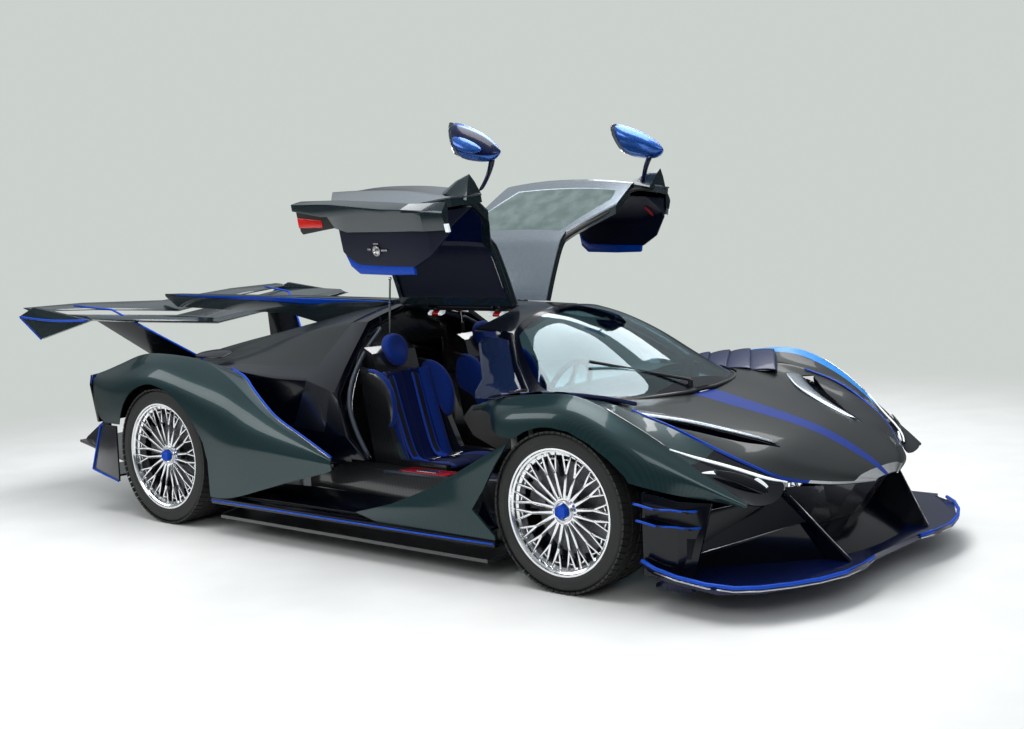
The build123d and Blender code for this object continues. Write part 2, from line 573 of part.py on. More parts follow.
DIFFUSER_ROWS = [Ramp(-1480.4, (0, 94.6), (556, 94.6)), Ramp(-1680, (0, 130), (590, 130)),
                 Ramp(-2320, (0, 345), (760, 345))]
diffuser = wide_skin(DIFFUSER_ROWS, ["middle", "edge"], wall=14)
DIFFUSER_FIN = [(-1640, 100), (-2340, 140), (-2340, 345), (-2320, 345), (-1680, 128)]
for fin_y in (-420, -210, 0, 210, 420):
    diffuser += side_prism(DIFFUSER_FIN, fin_y - 4, fin_y + 4)
DIFFUSER_CHEEK = [(-2110, 470), (-2070, 469.6), (-2080, 262), (-2320, 342), (-2300, 360)]
diffuser_cheek = side_prism(DIFFUSER_CHEEK, 700, 720)
WINGLET_OUTLINE = [(-1650, 498), (-1790, 500), (-1905, 240), (-1660, 190)]
winglet = side_prism(WINGLET_OUTLINE, 940, 950)
winglet_foot = side_prism([(-1660, 215), (-1880, 240), (-1880, 252), (-1660, 227)], 560, 942)
winglet_stay = side_prism([(-1668, 120), (-1880, 190), (-1880, 245), (-1668, 220)], 590, 600)
winglet += winglet_foot + winglet_stay
diffuser += diffuser_cheek + mirrored(diffuser_cheek) + winglet + mirrored(winglet)

ENGINE_FRONT = BULKHEAD_X[0] - PANEL_GAP
engine = box(-1060, ENGINE_FRONT, -270, 270, 200, 700) + box(-1590, -1059, -150, 150, 220, 480)

# dorsal fin and wing
Fin = namedtuple("Fin", "x half_width low high")
FIN_ROWS = [Fin(-345, 58, 1080, 1132), Fin(-905, 50, 980, 1139), Fin(-1240, 44, 1042, 1142),
            Fin(-2300, 34, 1066, 1146), Fin(-2430, 6, 1128, 1145)]
FIN_FOOT_SHARE = 0.4         # width of the fin's foot, as a share of its top
fin_rings = []
for r in FIN_ROWS:
    foot = r.half_width * FIN_FOOT_SHARE
    section = [(-r.half_width, r.high), (r.half_width, r.high), (foot, r.low), (-foot, r.low)]
    fin_rings.append(ring(r.x, section))
fin = folded(fin_rings)
fin = largest(fin - cover)
Span = namedtuple("Span", "y lead_x lead_z trail_x trail_z depth")
WING_ROWS = [Span(0, -1905, 968, -2330, 1002, 34), Span(560, -1870, 1030, -2385, 1062, 32),
             Span(948, -1812, 1078, -2420, 1096, 24)]
FLAP_ROWS = [Span(0, -2300, 1034, -2470, 1100, 14), Span(560, -2360, 1092, -2490, 1132, 14),
             Span(948, -2400, 1118, -2500, 1136, 12)]


BLADE_SECTION = [(0, 0.35), (0.06, 1.0), (0.4, 1.0), (1, 0.35), (1, 0.1), (0.4, -0.2), (0.06, -0.1)]


def blade_section(row, sign):
    """Flat-bottomed wing section with a blunt nose and a raised back, in the plane at y."""
    chord_x, chord_z = row.trail_x - row.lead_x, row.trail_z - row.lead_z
    points = []
    for share, lift in BLADE_SECTION:
        height = row.lead_z + chord_z * share + row.depth * lift
        points.append((row.lead_x + chord_x * share, sign * row.y, height))
    return points


def blade(rows):
    order = [(row, -1) for row in rows[:0:-1]] + [(row, 1) for row in rows]
    return folded([blade_section(row, sign) for row, sign in order])


END_PLATE = [(-1787, 1080), (-2367, 1146), (TAIL_X, 1088), (-2307, 964)]
end_plate = side_prism(END_PLATE, 946, 962)
wing = blade(WING_ROWS) + end_plate + mirrored(end_plate) + blade(FLAP_ROWS)
SUPPORT_TOP = [(-2034, 664, 1106), (-2330, 716, 1128)]
SUPPORT_FOOT = [(-1548, 374, 790), (-1900, 392, 760)]


support = fence([SUPPORT_TOP, SUPPORT_FOOT], 9)
support = largest(support - cover)
support = support - wing
support = largest(support)
fin = largest(fin - wing)
save("side_skirts", skirt, mirrored(skirt))
save("side_blades", side_blade, mirrored(side_blade))
save("rear_panel", rear_panel)
save("tail_lamps", tail_lamp, mirrored(tail_lamp))
save("exhaust_pipes", *exhaust_pipes)
save("diffuser", diffuser)
save("engine", engine)
save("dorsal_fin", fin)
save("rear_wing", wing)
save("wing_supports", support, mirrored(support))

# ================================================================ wheels
def turned(points, y=0):
    """Ring turned about the Y axis through (radius, y) points."""
    face = make_face(Polyline(*points, close=True))
    return revolve(face, Axis.Y)


SPOKE_SINK = 34              # spokes' face inboard of the rim's outer edge
SPOKE_ROOT_LEAN = 4          # degrees from a pair's middle to each spoke, at the hub
SPOKE_TIP_LEAN = 15          # and at the rim
SPOKE_ROOT_HALF = 9          # half widths of a spoke
SPOKE_TIP_HALF = 5
SPOKE_DEPTH = 22


def make_rim(seat_radius, width):
    """One rim about the Y axis, its middle plane at y = 0 and its face towards +Y."""
    half = width / 2
    flange = seat_radius + RIM_LIP
    drop = seat_radius - RIM_WALL
    profile = [(flange, half), (flange, half - 8), (seat_radius, half - 12), (seat_radius, -half + 12),
               (flange, -half + 8), (flange, -half), (drop, -half), (drop, half)]
    barrel = turned(profile)
    face_y = half - SPOKE_SINK
    hub = Pos(0, face_y - 16, 0) * Rot(90, 0, 0) * Cylinder(HUB_RADIUS, 40)
    hub += Pos(0, face_y + 20, 0) * Rot(90, 0, 0) * Cylinder(HUB_NUT_RADIUS, 36)
    reach = drop + 2
    spokes = []
    for index in range(SPOKE_PAIRS):
        angle = 360 / SPOKE_PAIRS * index
        for lean in (-1, 1):
            root = (HUB_RADIUS - 10, radians(angle + lean * SPOKE_ROOT_LEAN), SPOKE_ROOT_HALF)
            tip = (reach, radians(angle + lean * SPOKE_TIP_LEAN), SPOKE_TIP_HALF)
            points = []
            for (radius, turn, half_width), side in ((root, -1), (tip, -1), (tip, 1), (root, 1)):
                along, beside = Vector(cos(turn), sin(turn)), Vector(-sin(turn), cos(turn))
                points.append(along * radius + beside * side * half_width)
            spoke = extrude(make_face(Polyline(*points, close=True)), SPOKE_DEPTH)
            spokes.append(Pos(0, face_y + 4, 0) * Rot(90, 0, 0) * spoke)
    return barrel + hub + spokes


def make_tyre(radius, width, seat_radius):
    """Tyre about the Y axis; it stands clear of the rim by PANEL_GAP."""
    half = width / 2
    seat = seat_radius + RIM_LIP + PANEL_GAP
    shoulder = radius - 14
    profile = [(seat, half - 14), (seat + 30, half), (shoulder, half - 6), (radius, half - 24),
               (radius, -half + 24), (shoulder, -half + 6), (seat + 30, -half), (seat, -half + 14)]
    return turned(profile)


def disc_at(radius, y0, y1):
    """Cylinder about the wheel's own axle."""
    return Pos(0, (y0 + y1) / 2, 0) * Rot(90, 0, 0) * Cylinder(radius, y1 - y0)


UPRIGHT_HALF_WIDTH = 40
UPRIGHT_HALF_HEIGHT = 105
UPRIGHT_THICKNESS = 30
CALIPER_RADII = (140, 222)
CALIPER_ANGLES = (110, 185)  # degrees round the axle, from straight ahead over the top
CALIPER_SIDE = 18            # thickness of each caliper half beside the disc
DISC_PLAY = 5


def make_upright(disc_y):
    """Upright, stub axle and brake caliper about the wheel's own axle."""
    inner = disc_y - DISC_THICKNESS / 2
    back = inner - DISC_PLAY - CALIPER_SIDE
    shape = box(-UPRIGHT_HALF_WIDTH, UPRIGHT_HALF_WIDTH, back - UPRIGHT_THICKNESS, back + 2,
                -UPRIGHT_HALF_HEIGHT, UPRIGHT_HALF_HEIGHT)
    shape += disc_at(38, back, inner - PANEL_GAP)
    low, high = CALIPER_RADII
    sector = [(0, 0)] + [(300 * cos(radians(a)), 300 * sin(radians(a))) for a in CALIPER_ANGLES]
    caliper = disc_at(high, back, disc_y + DISC_THICKNESS / 2 + DISC_PLAY + CALIPER_SIDE)
    caliper -= disc_at(low, back - 1, disc_y + 100)
    caliper &= side_prism(sector, -200, 200)
    caliper -= disc_at(DISC_RADIUS + DISC_PLAY, inner - DISC_PLAY, disc_y + DISC_THICKNESS / 2 + DISC_PLAY)
    mount = side_prism([(0, 40), (-60, 150), (-160, 60), (-20, -40)], back - 10, back + 2)
    return shape + caliper + mount


Wheel = namedtuple("Wheel", "axle_x y tyre_radius tyre_width seat_radius rim_width")
WHEELS = {
    "front": Wheel(FRONT_AXLE_X, FRONT_WHEEL_Y, FRONT_TYRE_RADIUS, FRONT_TYRE_WIDTH, FRONT_RIM_RADIUS,
                   FRONT_RIM_WIDTH),
    "rear": Wheel(REAR_AXLE_X, REAR_WHEEL_Y, REAR_TYRE_RADIUS, REAR_TYRE_WIDTH, REAR_RIM_RADIUS,
                  REAR_RIM_WIDTH),
}
HUB_BEHIND_FACE = 36         # the hub's back, inboard of the spokes' face
for end, wheel in WHEELS.items():
    rim = make_rim(wheel.seat_radius, wheel.rim_width)
    tyre = make_tyre(wheel.tyre_radius, wheel.tyre_width, wheel.seat_radius)
    hub_back = wheel.rim_width / 2 - SPOKE_SINK - HUB_BEHIND_FACE
    disc_y = hub_back - DISC_INSET - DISC_THICKNESS / 2
    disc = disc_at(DISC_RADIUS, disc_y - DISC_THICKNESS / 2, disc_y + DISC_THICKNESS / 2)
    disc += disc_at(70, disc_y, hub_back - PANEL_GAP)
    upright = make_upright(disc_y)
    place = Pos(wheel.axle_x, wheel.y, wheel.tyre_radius)
    if end == "front":
        save("front_knuckle_left", place * upright)
        save("front_knuckle_right", mirrored(place * upright))
    else:
        rear_upright = place * upright
    for side, turn in (("left", lambda shape: shape), ("right", mirrored)):
        save(f"{end}_rim_{side}", turn(place * rim))
        save(f"{end}_tyre_{side}", turn(place * tyre))
        save(f"{end}_disc_{side}", turn(place * disc))

# ================================================================ suspension
ARM_RADIUS = 12
BALL_HALF_HEIGHT = 14
BALL_RISE = UPRIGHT_HALF_HEIGHT + BALL_PLAY + BALL_HALF_HEIGHT
arms = []
for ball_z, wall_z in ((FRONT_TYRE_RADIUS - BALL_RISE, 235), (FRONT_TYRE_RADIUS + BALL_RISE, 452)):
    ball = (FRONT_AXLE_X, FRONT_WHEEL_Y - KINGPIN_INSET, ball_z)
    for root_x, root_y in ((1330, 452), (1600, 415)):
        arms.append(rod((root_x, root_y, wall_z), ball, ARM_RADIUS))
    arms.append(Pos(*ball) * Cylinder(BALL_RADIUS, 2 * BALL_HALF_HEIGHT))
lower_arm = largest(arms[0] + arms[1] + arms[2] - tub)
upper_arm = largest(arms[3] + arms[4] + arms[5] - tub)
front_arms = [lower_arm, upper_arm]
save("front_suspension", *front_arms, *[mirrored(arm) for arm in front_arms])
REAR_BALL_Y = 762
links = []
for ball_z, wall_z in ((275, 270), (450, 440)):
    for root_x in (-1090, -1420):
        links.append(rod((root_x, 140, wall_z), (REAR_AXLE_X, REAR_BALL_Y, ball_z), ARM_RADIUS))
shaft = rod((REAR_AXLE_X, 140, 345), (REAR_AXLE_X, REAR_BALL_Y + 10, REAR_TYRE_RADIUS), 18)
rear_links = largest((rear_upright + links + shaft) - engine)
save("rear_suspension", rear_links, mirrored(rear_links))

# ================================================================ doors
CARD_OUTLINE = [(735, 684), (740, 560), (655, 398), (235, 398), (95, 560), (20, 700)]
Rail = namedtuple("Rail", "x top low")
RAIL_ROWS = [Rail(78, 366, 330), Rail(212, 370, 312), Rail(224, 384, 311), Rail(640, 384, 311),
             Rail(716, 372, 340)]
shell_skin = skin(CABIN_ROWS, ["hinge", "roof_edge", "belt", "side", "hem"], wall=DOOR_WALL)
door_shell = shell_skin & side_prism(DOOR_OUTLINE, DOOR_EDGE, 1100)
door_shell -= side_prism(WINDOW_OUTLINE, DOOR_EDGE, 1100)
card = skin(CABIN_ROWS, ["belt", "side", "hem"], wall=DOOR_CARD_DEPTH) & side_prism(CARD_OUTLINE, 300, 1100)
rail = folded([ring(r.x, [(735, r.top), (735, r.low + 4), (762, r.low), (790, r.low + 32), (788, r.top)])
               for r in RAIL_ROWS])
door_shell = door_shell + card + rail
door_glass = skin(CABIN_ROWS, ["roof_edge", "belt"], wall=GLASS_WALL)
door_glass &= side_prism(WINDOW_OUTLINE, DOOR_EDGE, 1100, -PANEL_GAP)
for hinge_x in HINGE_XS:
    door_shell -= along_x(HINGE_RADIUS + 4, hinge_x - HINGE_LENGTH / 2 - 2, hinge_x + HINGE_LENGTH / 2 + 2)
    door_shell += hinge_door_half(hinge_x)

# gas strut: pivots (y, z) with the door shut, and how it lies with the door open
STRUT_DOOR_RADIUS = 200      # door's strut pin from the hinge line
STRUT_DOOR_ANGLE = -36       # degrees below level, door shut
BARREL_LENGTH = 283
BARREL_RADIUS = 11
ROD_RADIUS = 5
EYE_RADIUS = 8
EYE_HALF = 5
LUG_THICKNESS = 5


def strut_pin(angle):
    """Door's strut pin (y, z) when its arm about the hinge is at the angle."""
    turn = radians(angle)
    return (HINGE_Y + STRUT_DOOR_RADIUS * cos(turn), HINGE_Z + STRUT_DOOR_RADIUS * sin(turn))


pin_shut = strut_pin(STRUT_DOOR_ANGLE)
pin_open = strut_pin(STRUT_DOOR_ANGLE + DOOR_OPEN)
lug = Plane.YZ * make_face(Polyline((225, 1074), (305, 1058), (pin_shut[0] + 8, pin_shut[1] - 8),
                                    (pin_shut[0] - 8, pin_shut[1] - 8), close=True))
lug_x = STRUT_X + EYE_HALF + 1
door_shell += Pos(lug_x, 0, 0) * extrude(lug, LUG_THICKNESS)


def strut_lean(pin):
    return degrees(atan2(STRUT_LOW[0] - pin[0], pin[1] - STRUT_LOW[1]))


def strut_length(pin):
    return hypot(pin[0] - STRUT_LOW[0], pin[1] - STRUT_LOW[1])


open_length = strut_length(pin_open)
stroke = open_length - strut_length(pin_shut)
print(f"strut lean open {strut_lean(pin_open):.3f} shut {strut_lean(pin_shut):.3f} stroke {stroke:.2f}")
strut_place = Pos(STRUT_X, *STRUT_LOW) * Rot(strut_lean(pin_open), 0, 0)


def upright_tube(radius, z0, z1):
    return Pos(0, 0, (z0 + z1) / 2) * Cylinder(radius, z1 - z0)


barrel = upright_tube(BARREL_RADIUS, 10, BARREL_LENGTH) + upright_tube(EYE_HALF - 1, 0, 14)
barrel -= upright_tube(ROD_RADIUS + 1, 12, BARREL_LENGTH + 1)
barrel += Rot(0, 90, 0) * Cylinder(EYE_RADIUS, 2 * EYE_HALF)
barrel -= Rot(0, 90, 0) * Cylinder(PIN_RADIUS + PIN_PLAY, 30)
rod_start = stroke + 16
strut_rod = upright_tube(ROD_RADIUS, rod_start, open_length - 4)
strut_rod += Pos(0, 0, open_length) * Rot(0, 90, 0) * Cylinder(EYE_RADIUS, 2 * EYE_HALF)
strut_rod -= Pos(0, 0, open_length) * Rot(0, 90, 0) * Cylinder(PIN_RADIUS, 30)

# door mirror
MIRROR_BASE = [(822, 594), (905, 606), (880, 648), (830, 640)]
Pod = namedtuple("Pod", "x y z half_width half_height")
POD_ROWS = [Pod(968, 909, 741, 3, 3), Pod(920, 925, 748, 34, 24), Pod(840, 958, 756, 62, 40),
            Pod(740, 992, 762, 62, 44), Pod(700, 1004, 764, 54, 40)]
MIRROR_FOOT = (868, 740, 622)  # middle of the prism's wide end, on the door
PRISM_TIP_Y = 836
PRISM_TAPER = 0.3
# shares of the pod's half width and half height
POD_SECTION = [(-1, 0), (-0.6, 1), (0.5, 0.8), (1, 0), (0.3, -1), (-0.6, -0.8)]
STALK_RADIUS = 10
STALK_OVERRUN = 4            # closes the stalk's bend
STALK = [(868, 822, 622), (862, 880, 668), (850, 948, 745)]
foot_x, foot_y, foot_z = MIRROR_FOOT
base_near = [(x, foot_y, z) for x, z in MIRROR_BASE]
base_far = []
for x, z in MIRROR_BASE:
    base_far.append((foot_x + (x - foot_x) * PRISM_TAPER, PRISM_TIP_Y, foot_z + (z - foot_z) * PRISM_TAPER))
mirror = folded([base_near, base_far])
for start, end in zip(STALK, STALK[1:]):
    mirror += rod(start, end, STALK_RADIUS, STALK_OVERRUN)
pod_rings = []
for r in POD_ROWS:
    pod_rings.append(ring(r.x, [(r.y + r.half_width * across_share, r.z + r.half_height * up_share)
                                for across_share, up_share in POD_SECTION]))
mirror += folded(pod_rings)
mirror = largest(mirror - door_shell)

HINGE_LINE = Axis((0, HINGE_Y, HINGE_Z), (1, 0, 0))
for name, shape in (("door_shell", door_shell), ("door_glass", door_glass), ("door_mirror", mirror)):
    opened = shape.rotate(HINGE_LINE, DOOR_OPEN)
    save(f"{name}_left", opened)
    save(f"{name}_right", mirrored(opened))
for name, shape in (("strut_barrel", strut_place * barrel), ("strut_rod", strut_place * strut_rod)):
    save(f"{name}_left", shape)
    save(f"{name}_right", mirrored(shape))

# ================================================================ cabin
SEAT_Y = 340
SEAT_SHELL = [(20, 125.4), (420, 125.4), (500, 250), (500, 300), (110, 262), (-60, 900), (-118, 930),
              (-140, 880), (20, 240)]
SEAT_WING = [(40, 140), (420, 200), (500, 300), (480, 392), (180, 400), (60, 640), (20, 820), (-90, 840),
             (20, 240)]
SEAT_HALF = 225
SEAT_WING_WIDTH = 34
seat = side_prism(SEAT_SHELL, SEAT_Y - 150, SEAT_Y + 150)
for wing_y in (SEAT_Y - SEAT_HALF, SEAT_Y + SEAT_HALF - SEAT_WING_WIDTH):
    seat += side_prism(SEAT_WING, wing_y, wing_y + SEAT_WING_WIDTH)
seat += side_prism([(30, 180), (480, 240), (500, 300), (110, 262), (0, 700), (-60, 700), (20, 240)],
                   SEAT_Y - SEAT_HALF + 2, SEAT_Y + SEAT_HALF - 2)
CUSHION = [(130, 264.8), (500, 300.6), (500, 345), (140, 320)]
BACK_PAD = [(108, 300), (128, 345), (0, 800), (-32, 790)]
HEAD_PAD = [(-44, 815), (2, 822), (-14, 925), (-75, 918)]


def pad(outline, half_width):
    return side_prism(outline, SEAT_Y - half_width, SEAT_Y + half_width)


pads = [pad(CUSHION, 180) - seat, pad(BACK_PAD, 180) - seat, pad(HEAD_PAD, 120) - seat]
pads = [largest(each) for each in pads]
DASH_OUTLINE = [(1062, 733), (1062, 560), (860, 500), (700, 560), (640, 640), (700, 700), (900, 733)]
dashboard = side_prism(DASH_OUTLINE, -600, 600)
CONSOLE = [(640, 125.4), (1040, 125.4), (1000, 520), (860, 520), (640, 330), (130, 290), (130, 125.4)]
console = side_prism(CONSOLE, -70, 70)
dashboard = largest((dashboard + console) - tub)
WHEEL_CENTRE = (520, SEAT_Y, 640)
WHEEL_TILT = 22
grip = [(160 + 14 * cos(radians(a)), 14 * sin(radians(a))) for a in range(0, 360, 60)]
steering = Rot(90, 0, 0) * turned(grip) + Pos(0, 0, 8) * Cylinder(42, 34)
for spoke_angle in (0, 180, 270):
    steering += Rot(0, 0, spoke_angle) * Pos(90, 0, 0) * Box(140, 26, 12)
steering += Pos(0, 0, 100) * Cylinder(22, 180)
steering = Pos(*WHEEL_CENTRE) * Rot(0, 90 + WHEEL_TILT, 0) * steering
steering = largest(steering - dashboard)
save("seat_shells", seat, mirrored(seat))
save("seat_pads", *pads, *[mirrored(each) for each in pads])
save("dashboard", dashboard)
save("steering_wheel", steering)

# ================================================================ wiper
WIPER_BASE = (1545, -60, 790)
WIPER_TIP = (1235, -395, 900)
wiper = rod(WIPER_BASE, WIPER_TIP, 7) + rod(WIPER_BASE, (1545, -60, 760), 12)
wiper = largest(wiper - windscreen)
save("wiper", wiper)
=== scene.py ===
import bpy
import bmesh
from math import copysign, cos, hypot, pi, radians, sin
from mathutils import Matrix, Vector


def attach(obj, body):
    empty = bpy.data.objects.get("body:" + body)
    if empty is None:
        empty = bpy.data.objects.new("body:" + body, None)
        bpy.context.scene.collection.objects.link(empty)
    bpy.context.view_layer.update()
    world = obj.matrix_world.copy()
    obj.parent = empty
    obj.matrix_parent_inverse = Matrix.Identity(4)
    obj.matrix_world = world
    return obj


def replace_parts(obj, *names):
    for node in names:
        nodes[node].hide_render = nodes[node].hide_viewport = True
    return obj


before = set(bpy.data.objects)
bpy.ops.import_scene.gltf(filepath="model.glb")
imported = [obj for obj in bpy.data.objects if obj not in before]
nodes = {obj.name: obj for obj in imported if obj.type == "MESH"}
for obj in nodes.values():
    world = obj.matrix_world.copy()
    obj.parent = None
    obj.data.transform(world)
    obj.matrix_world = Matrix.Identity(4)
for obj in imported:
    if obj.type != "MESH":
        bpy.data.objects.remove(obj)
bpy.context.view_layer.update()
MM = 0.001


# ---------------------------------------------------------------- finishes
def finish(name, color, roughness, **settings):
    """A painted, moulded or metal finish; extra settings go straight on the shader's sockets."""
    material = bpy.data.materials.new(name)
    material.use_nodes = True
    shader = material.node_tree.nodes["Principled BSDF"]
    shader.inputs["Base Color"].default_value = (*color, 1)
    shader.inputs["Roughness"].default_value = roughness
    for socket, value in settings.items():
        shader.inputs[socket.replace("_", " ").title().replace("Ior", "IOR")].default_value = value
    return material


def add(holder, kind, **values):
    """New shader node in a material or world; a value goes to the input of that name, or to the node's own setting."""
    node = holder.node_tree.nodes.new("ShaderNode" + kind)
    for name, value in values.items():
        socket = name.replace("_", " ").title()
        if socket in node.inputs:
            node.inputs[socket].default_value = value
        else:
            setattr(node, name, value)
    return node


def link(holder, start, end):
    holder.node_tree.links.new(start, end)


def ramp(holder, source, low, high):
    """Colour led by a value, between two stops of (colour, position)."""
    node = add(holder, "ValToRGB")
    for stop, (tone, position) in zip(node.color_ramp.elements, (low, high)):
        stop.color, stop.position = (*tone, 1), position
    link(holder, source, node.inputs["Fac"])
    return node.outputs["Color"]


def surfaced(material, texture, tone, bump, depth):
    """Lays a tone on the finish, and the texture's pattern as a bump of that depth in metres."""
    shader = material.node_tree.nodes["Principled BSDF"]
    link(material, tone, shader.inputs["Base Color"])
    if bump:
        lift = add(material, "Bump", strength=bump, distance=depth)
        link(material, texture.outputs["Fac"], lift.inputs["Height"])
        link(material, lift.outputs["Normal"], shader.inputs["Normal"])
    return material


def grained(name, color, roughness, scale, bump, dark, light, **settings):
    """Finish with a fine grain in two tones."""
    material = finish(name, color, roughness, **settings)
    noise = add(material, "TexNoise", scale=scale, detail=3.0)
    link(material, add(material, "TexCoord").outputs["Object"], noise.inputs["Vector"])
    return surfaced(material, noise, ramp(material, noise.outputs["Fac"], (dark, 0.35), (light, 0.65)), bump, 0.001)


def woven(name, color, roughness, pitch, bump, dark, light, **settings):
    """Finish over woven fibre: crossed bands in two tones."""
    material = finish(name, color, roughness, **settings)
    spread = add(material, "Mapping", rotation=(radians(35), radians(25), radians(45)))
    check = add(material, "TexChecker", scale=1 / pitch, color1=(*dark, 1), color2=(*light, 1))
    link(material, add(material, "TexCoord").outputs["Object"], spread.inputs["Vector"])
    link(material, spread.outputs["Vector"], check.inputs["Vector"])
    return surfaced(material, check, check.outputs["Color"], bump, 0.0005)


def coated(weight, roughness, specular=0.5, metallic=0.0):
    """Shader settings of a clear coat over a paint."""
    return {"coat_weight": weight, "coat_roughness": roughness, "specular_ior_level": specular, "metallic": metallic}


TEAL = woven("teal_over_fibre", (0.02, 0.055, 0.06), 0.36, 0.004, 0.05, (0.005, 0.024, 0.028), (0.011, 0.038, 0.043),
             **coated(0.55, 0.06, 0.3, 0.5))
# Grey fibre of the bonnet and the engine cover; on the far fender's inner slope it is painted shade.
GREY_FIBRE_AND_PAINTED_SHADE = woven("grey_fibre_and_painted_shade", (0.012, 0.02, 0.021), 0.36, 0.004, 0.05, (0.006, 0.009, 0.010),
                   (0.016, 0.020, 0.021), **coated(0.25, 0.06, 0.15, 0.2))
DARK_FIBRE = woven("dark_fibre", (0.012, 0.013, 0.016), 0.3, 0.005, 0.1, (0.008, 0.009, 0.011),
                   (0.024, 0.025, 0.029), **coated(1.0, 0.06, 0.5, 0.2))
BLUE = grained("royal_blue_lacquer", (0.0, 0.06, 0.5), 0.4, 220, 0.02, (0.0, 0.05, 0.42), (0.0, 0.075, 0.6),
               **coated(0.12, 0.1, 0.2))
STRIPE_BLUE = grained("stripe_blue_lacquer", (0.0, 0.02, 0.2), 0.4, 220, 0.02, (0.0, 0.016, 0.16),
                      (0.0, 0.028, 0.25), **coated(0.12, 0.08, 0.15))
# Painted reflection: a bright blue that stands in for the light caught along the far fender's crest.
PAINTED_REFLECTION_BLUE = grained("bright_blue_lacquer", (0.0, 0.2, 0.65), 0.35, 220, 0.02, (0.0, 0.16, 0.55), (0.004, 0.26, 0.75),
                    **coated(0.2, 0.1, 0.25))
# Painted reflection: a light silver over the car's teal, standing in for the ceiling's reflection on the door skins and
# for the highlight along the vent ridges.
SILVER_PAINTED_REFLECTION = grained("silver_painted_reflection", (0.3, 0.35, 0.41), 0.24, 220, 0.02, (0.2, 0.24, 0.28),
                      (0.29, 0.33, 0.38), **coated(1.0, 0.05, 0.5, 0.9))
GLOSS_BLACK = grained("gloss_black", (0.001, 0.002, 0.006), 0.2, 90, 0.01, (0.0006, 0.0012, 0.004),
                      (0.0016, 0.0026, 0.008), **coated(0.3, 0.05, 0.2))
NAVY_GLOSS = grained("navy_gloss", (0.002, 0.006, 0.04), 0.22, 90, 0.01, (0.0015, 0.004, 0.028),
                     (0.003, 0.008, 0.052), **coated(0.3, 0.06, 0.2))
NAVY_SATIN = grained("navy_satin", (0.001, 0.003, 0.018), 0.5, 260, 0.03, (0.0006, 0.002, 0.013),
                     (0.002, 0.005, 0.028), **coated(0.12, 0.35, 0.25))
LOUVRE_BLUE = grained("louvre_blue", (0.001, 0.008, 0.05), 0.3, 90, 0.01, (0.0006, 0.005, 0.03),
                      (0.0014, 0.011, 0.075), **coated(0.25, 0.05, 0.15))
DARK_TEAL = grained("dark_teal_lacquer", (0.012, 0.026, 0.034), 0.22, 180, 0.012, (0.009, 0.02, 0.027),
                    (0.016, 0.033, 0.042), **coated(0.9, 0.05, 0.5, 0.3))
PANE_OUTSIDE = grained("door_pane", (0.17, 0.24, 0.23), 0.1, 14, 0.0, (0.13, 0.19, 0.18), (0.22, 0.29, 0.28),
                       **coated(1.0, 0.02, 0.5, 0.8))
MIRROR_BLUE = grained("mirror_blue", (0.01, 0.09, 0.42), 0.24, 120, 0.01, (0.006, 0.06, 0.34), (0.016, 0.13, 0.5),
                      **coated(0.7, 0.05, 0.5, 0.55))
RED = grained("red_lacquer", (0.5, 0.004, 0.004), 0.25, 300, 0.02, (0.4, 0.003, 0.003), (0.62, 0.006, 0.006),
              coat_weight=1.0)
RED_LENS = grained("red_lens", (0.8, 0.01, 0.008), 0.25, 500, 0.05, (0.62, 0.006, 0.006), (0.95, 0.016, 0.01),
                   **coated(0.6, 0.05))
RED_CLOTH = grained("red_cloth", (0.42, 0.008, 0.012), 0.8, 900, 0.2, (0.32, 0.005, 0.008), (0.52, 0.012, 0.018))
SEAT_BLUE = grained("blue_suede", (0.003, 0.03, 0.26), 0.85, 700, 0.35, (0.002, 0.022, 0.18), (0.004, 0.045, 0.36),
                    specular_ior_level=0.2, sheen_weight=0.15)
SEAT_DARK = grained("dark_blue_suede", (0.001, 0.008, 0.08), 0.9, 700, 0.35, (0.0008, 0.005, 0.05),
                    (0.0016, 0.012, 0.12), specular_ior_level=0.15, sheen_weight=0.08)
BLUE_WEB = grained("blue_webbing", (0.004, 0.06, 0.55), 0.7, 900, 0.3, (0.002, 0.045, 0.42), (0.008, 0.08, 0.7))
SATIN_BLACK = grained("satin_black", (0.01, 0.01, 0.011), 0.55, 600, 0.2, (0.007, 0.007, 0.008),
                      (0.015, 0.015, 0.016))
RUBBER = grained("tyre_rubber", (0.012, 0.012, 0.012), 0.62, 900, 0.25, (0.009, 0.009, 0.009), (0.018, 0.018, 0.018))
SLATE_RUBBER = grained("slate_rubber", (0.03, 0.04, 0.06), 0.5, 300, 0.05, (0.022, 0.03, 0.046),
                       (0.04, 0.052, 0.075))
POLISHED = grained("polished_alloy", (0.82, 0.83, 0.85), 0.14, 160, 0.02, (0.76, 0.77, 0.79), (0.88, 0.89, 0.9),
                   metallic=1.0)
DARK_STEEL = grained("dark_steel", (0.12, 0.12, 0.13), 0.35, 260, 0.1, (0.08, 0.08, 0.085), (0.17, 0.17, 0.18),
                     metallic=0.9)
# Bright steel of the real fittings, and also of the painted highlight lines on the door and on the fender crest.
BRIGHT_STEEL_AND_HIGHLIGHT = grained("bright_steel", (0.6, 0.6, 0.61), 0.22, 260, 0.04, (0.52, 0.52, 0.53), (0.68, 0.68, 0.69),
                       metallic=1.0)
GLASS = finish("tinted_glass", (0.32, 0.6, 0.7), 0.02, transmission_weight=1.0, ior=1.45)
DARK_GLASS = finish("dark_glass", (0.02, 0.04, 0.12), 0.03, transmission_weight=0.6, ior=1.5)
LENS = finish("clear_lens", (0.9, 0.95, 1.0), 0.03, transmission_weight=1.0, ior=1.4)
# Glowing white: the headlamps' light, and painted light on the door strikers and on the hinge pads' white bands, which
# are no lamps.
GLOWING_WHITE = finish("glowing_white", (0.9, 0.95, 1.0), 0.15, coat_weight=1.0, emission_color=(0.9, 0.96, 1.0, 1),
                    emission_strength=0.35)

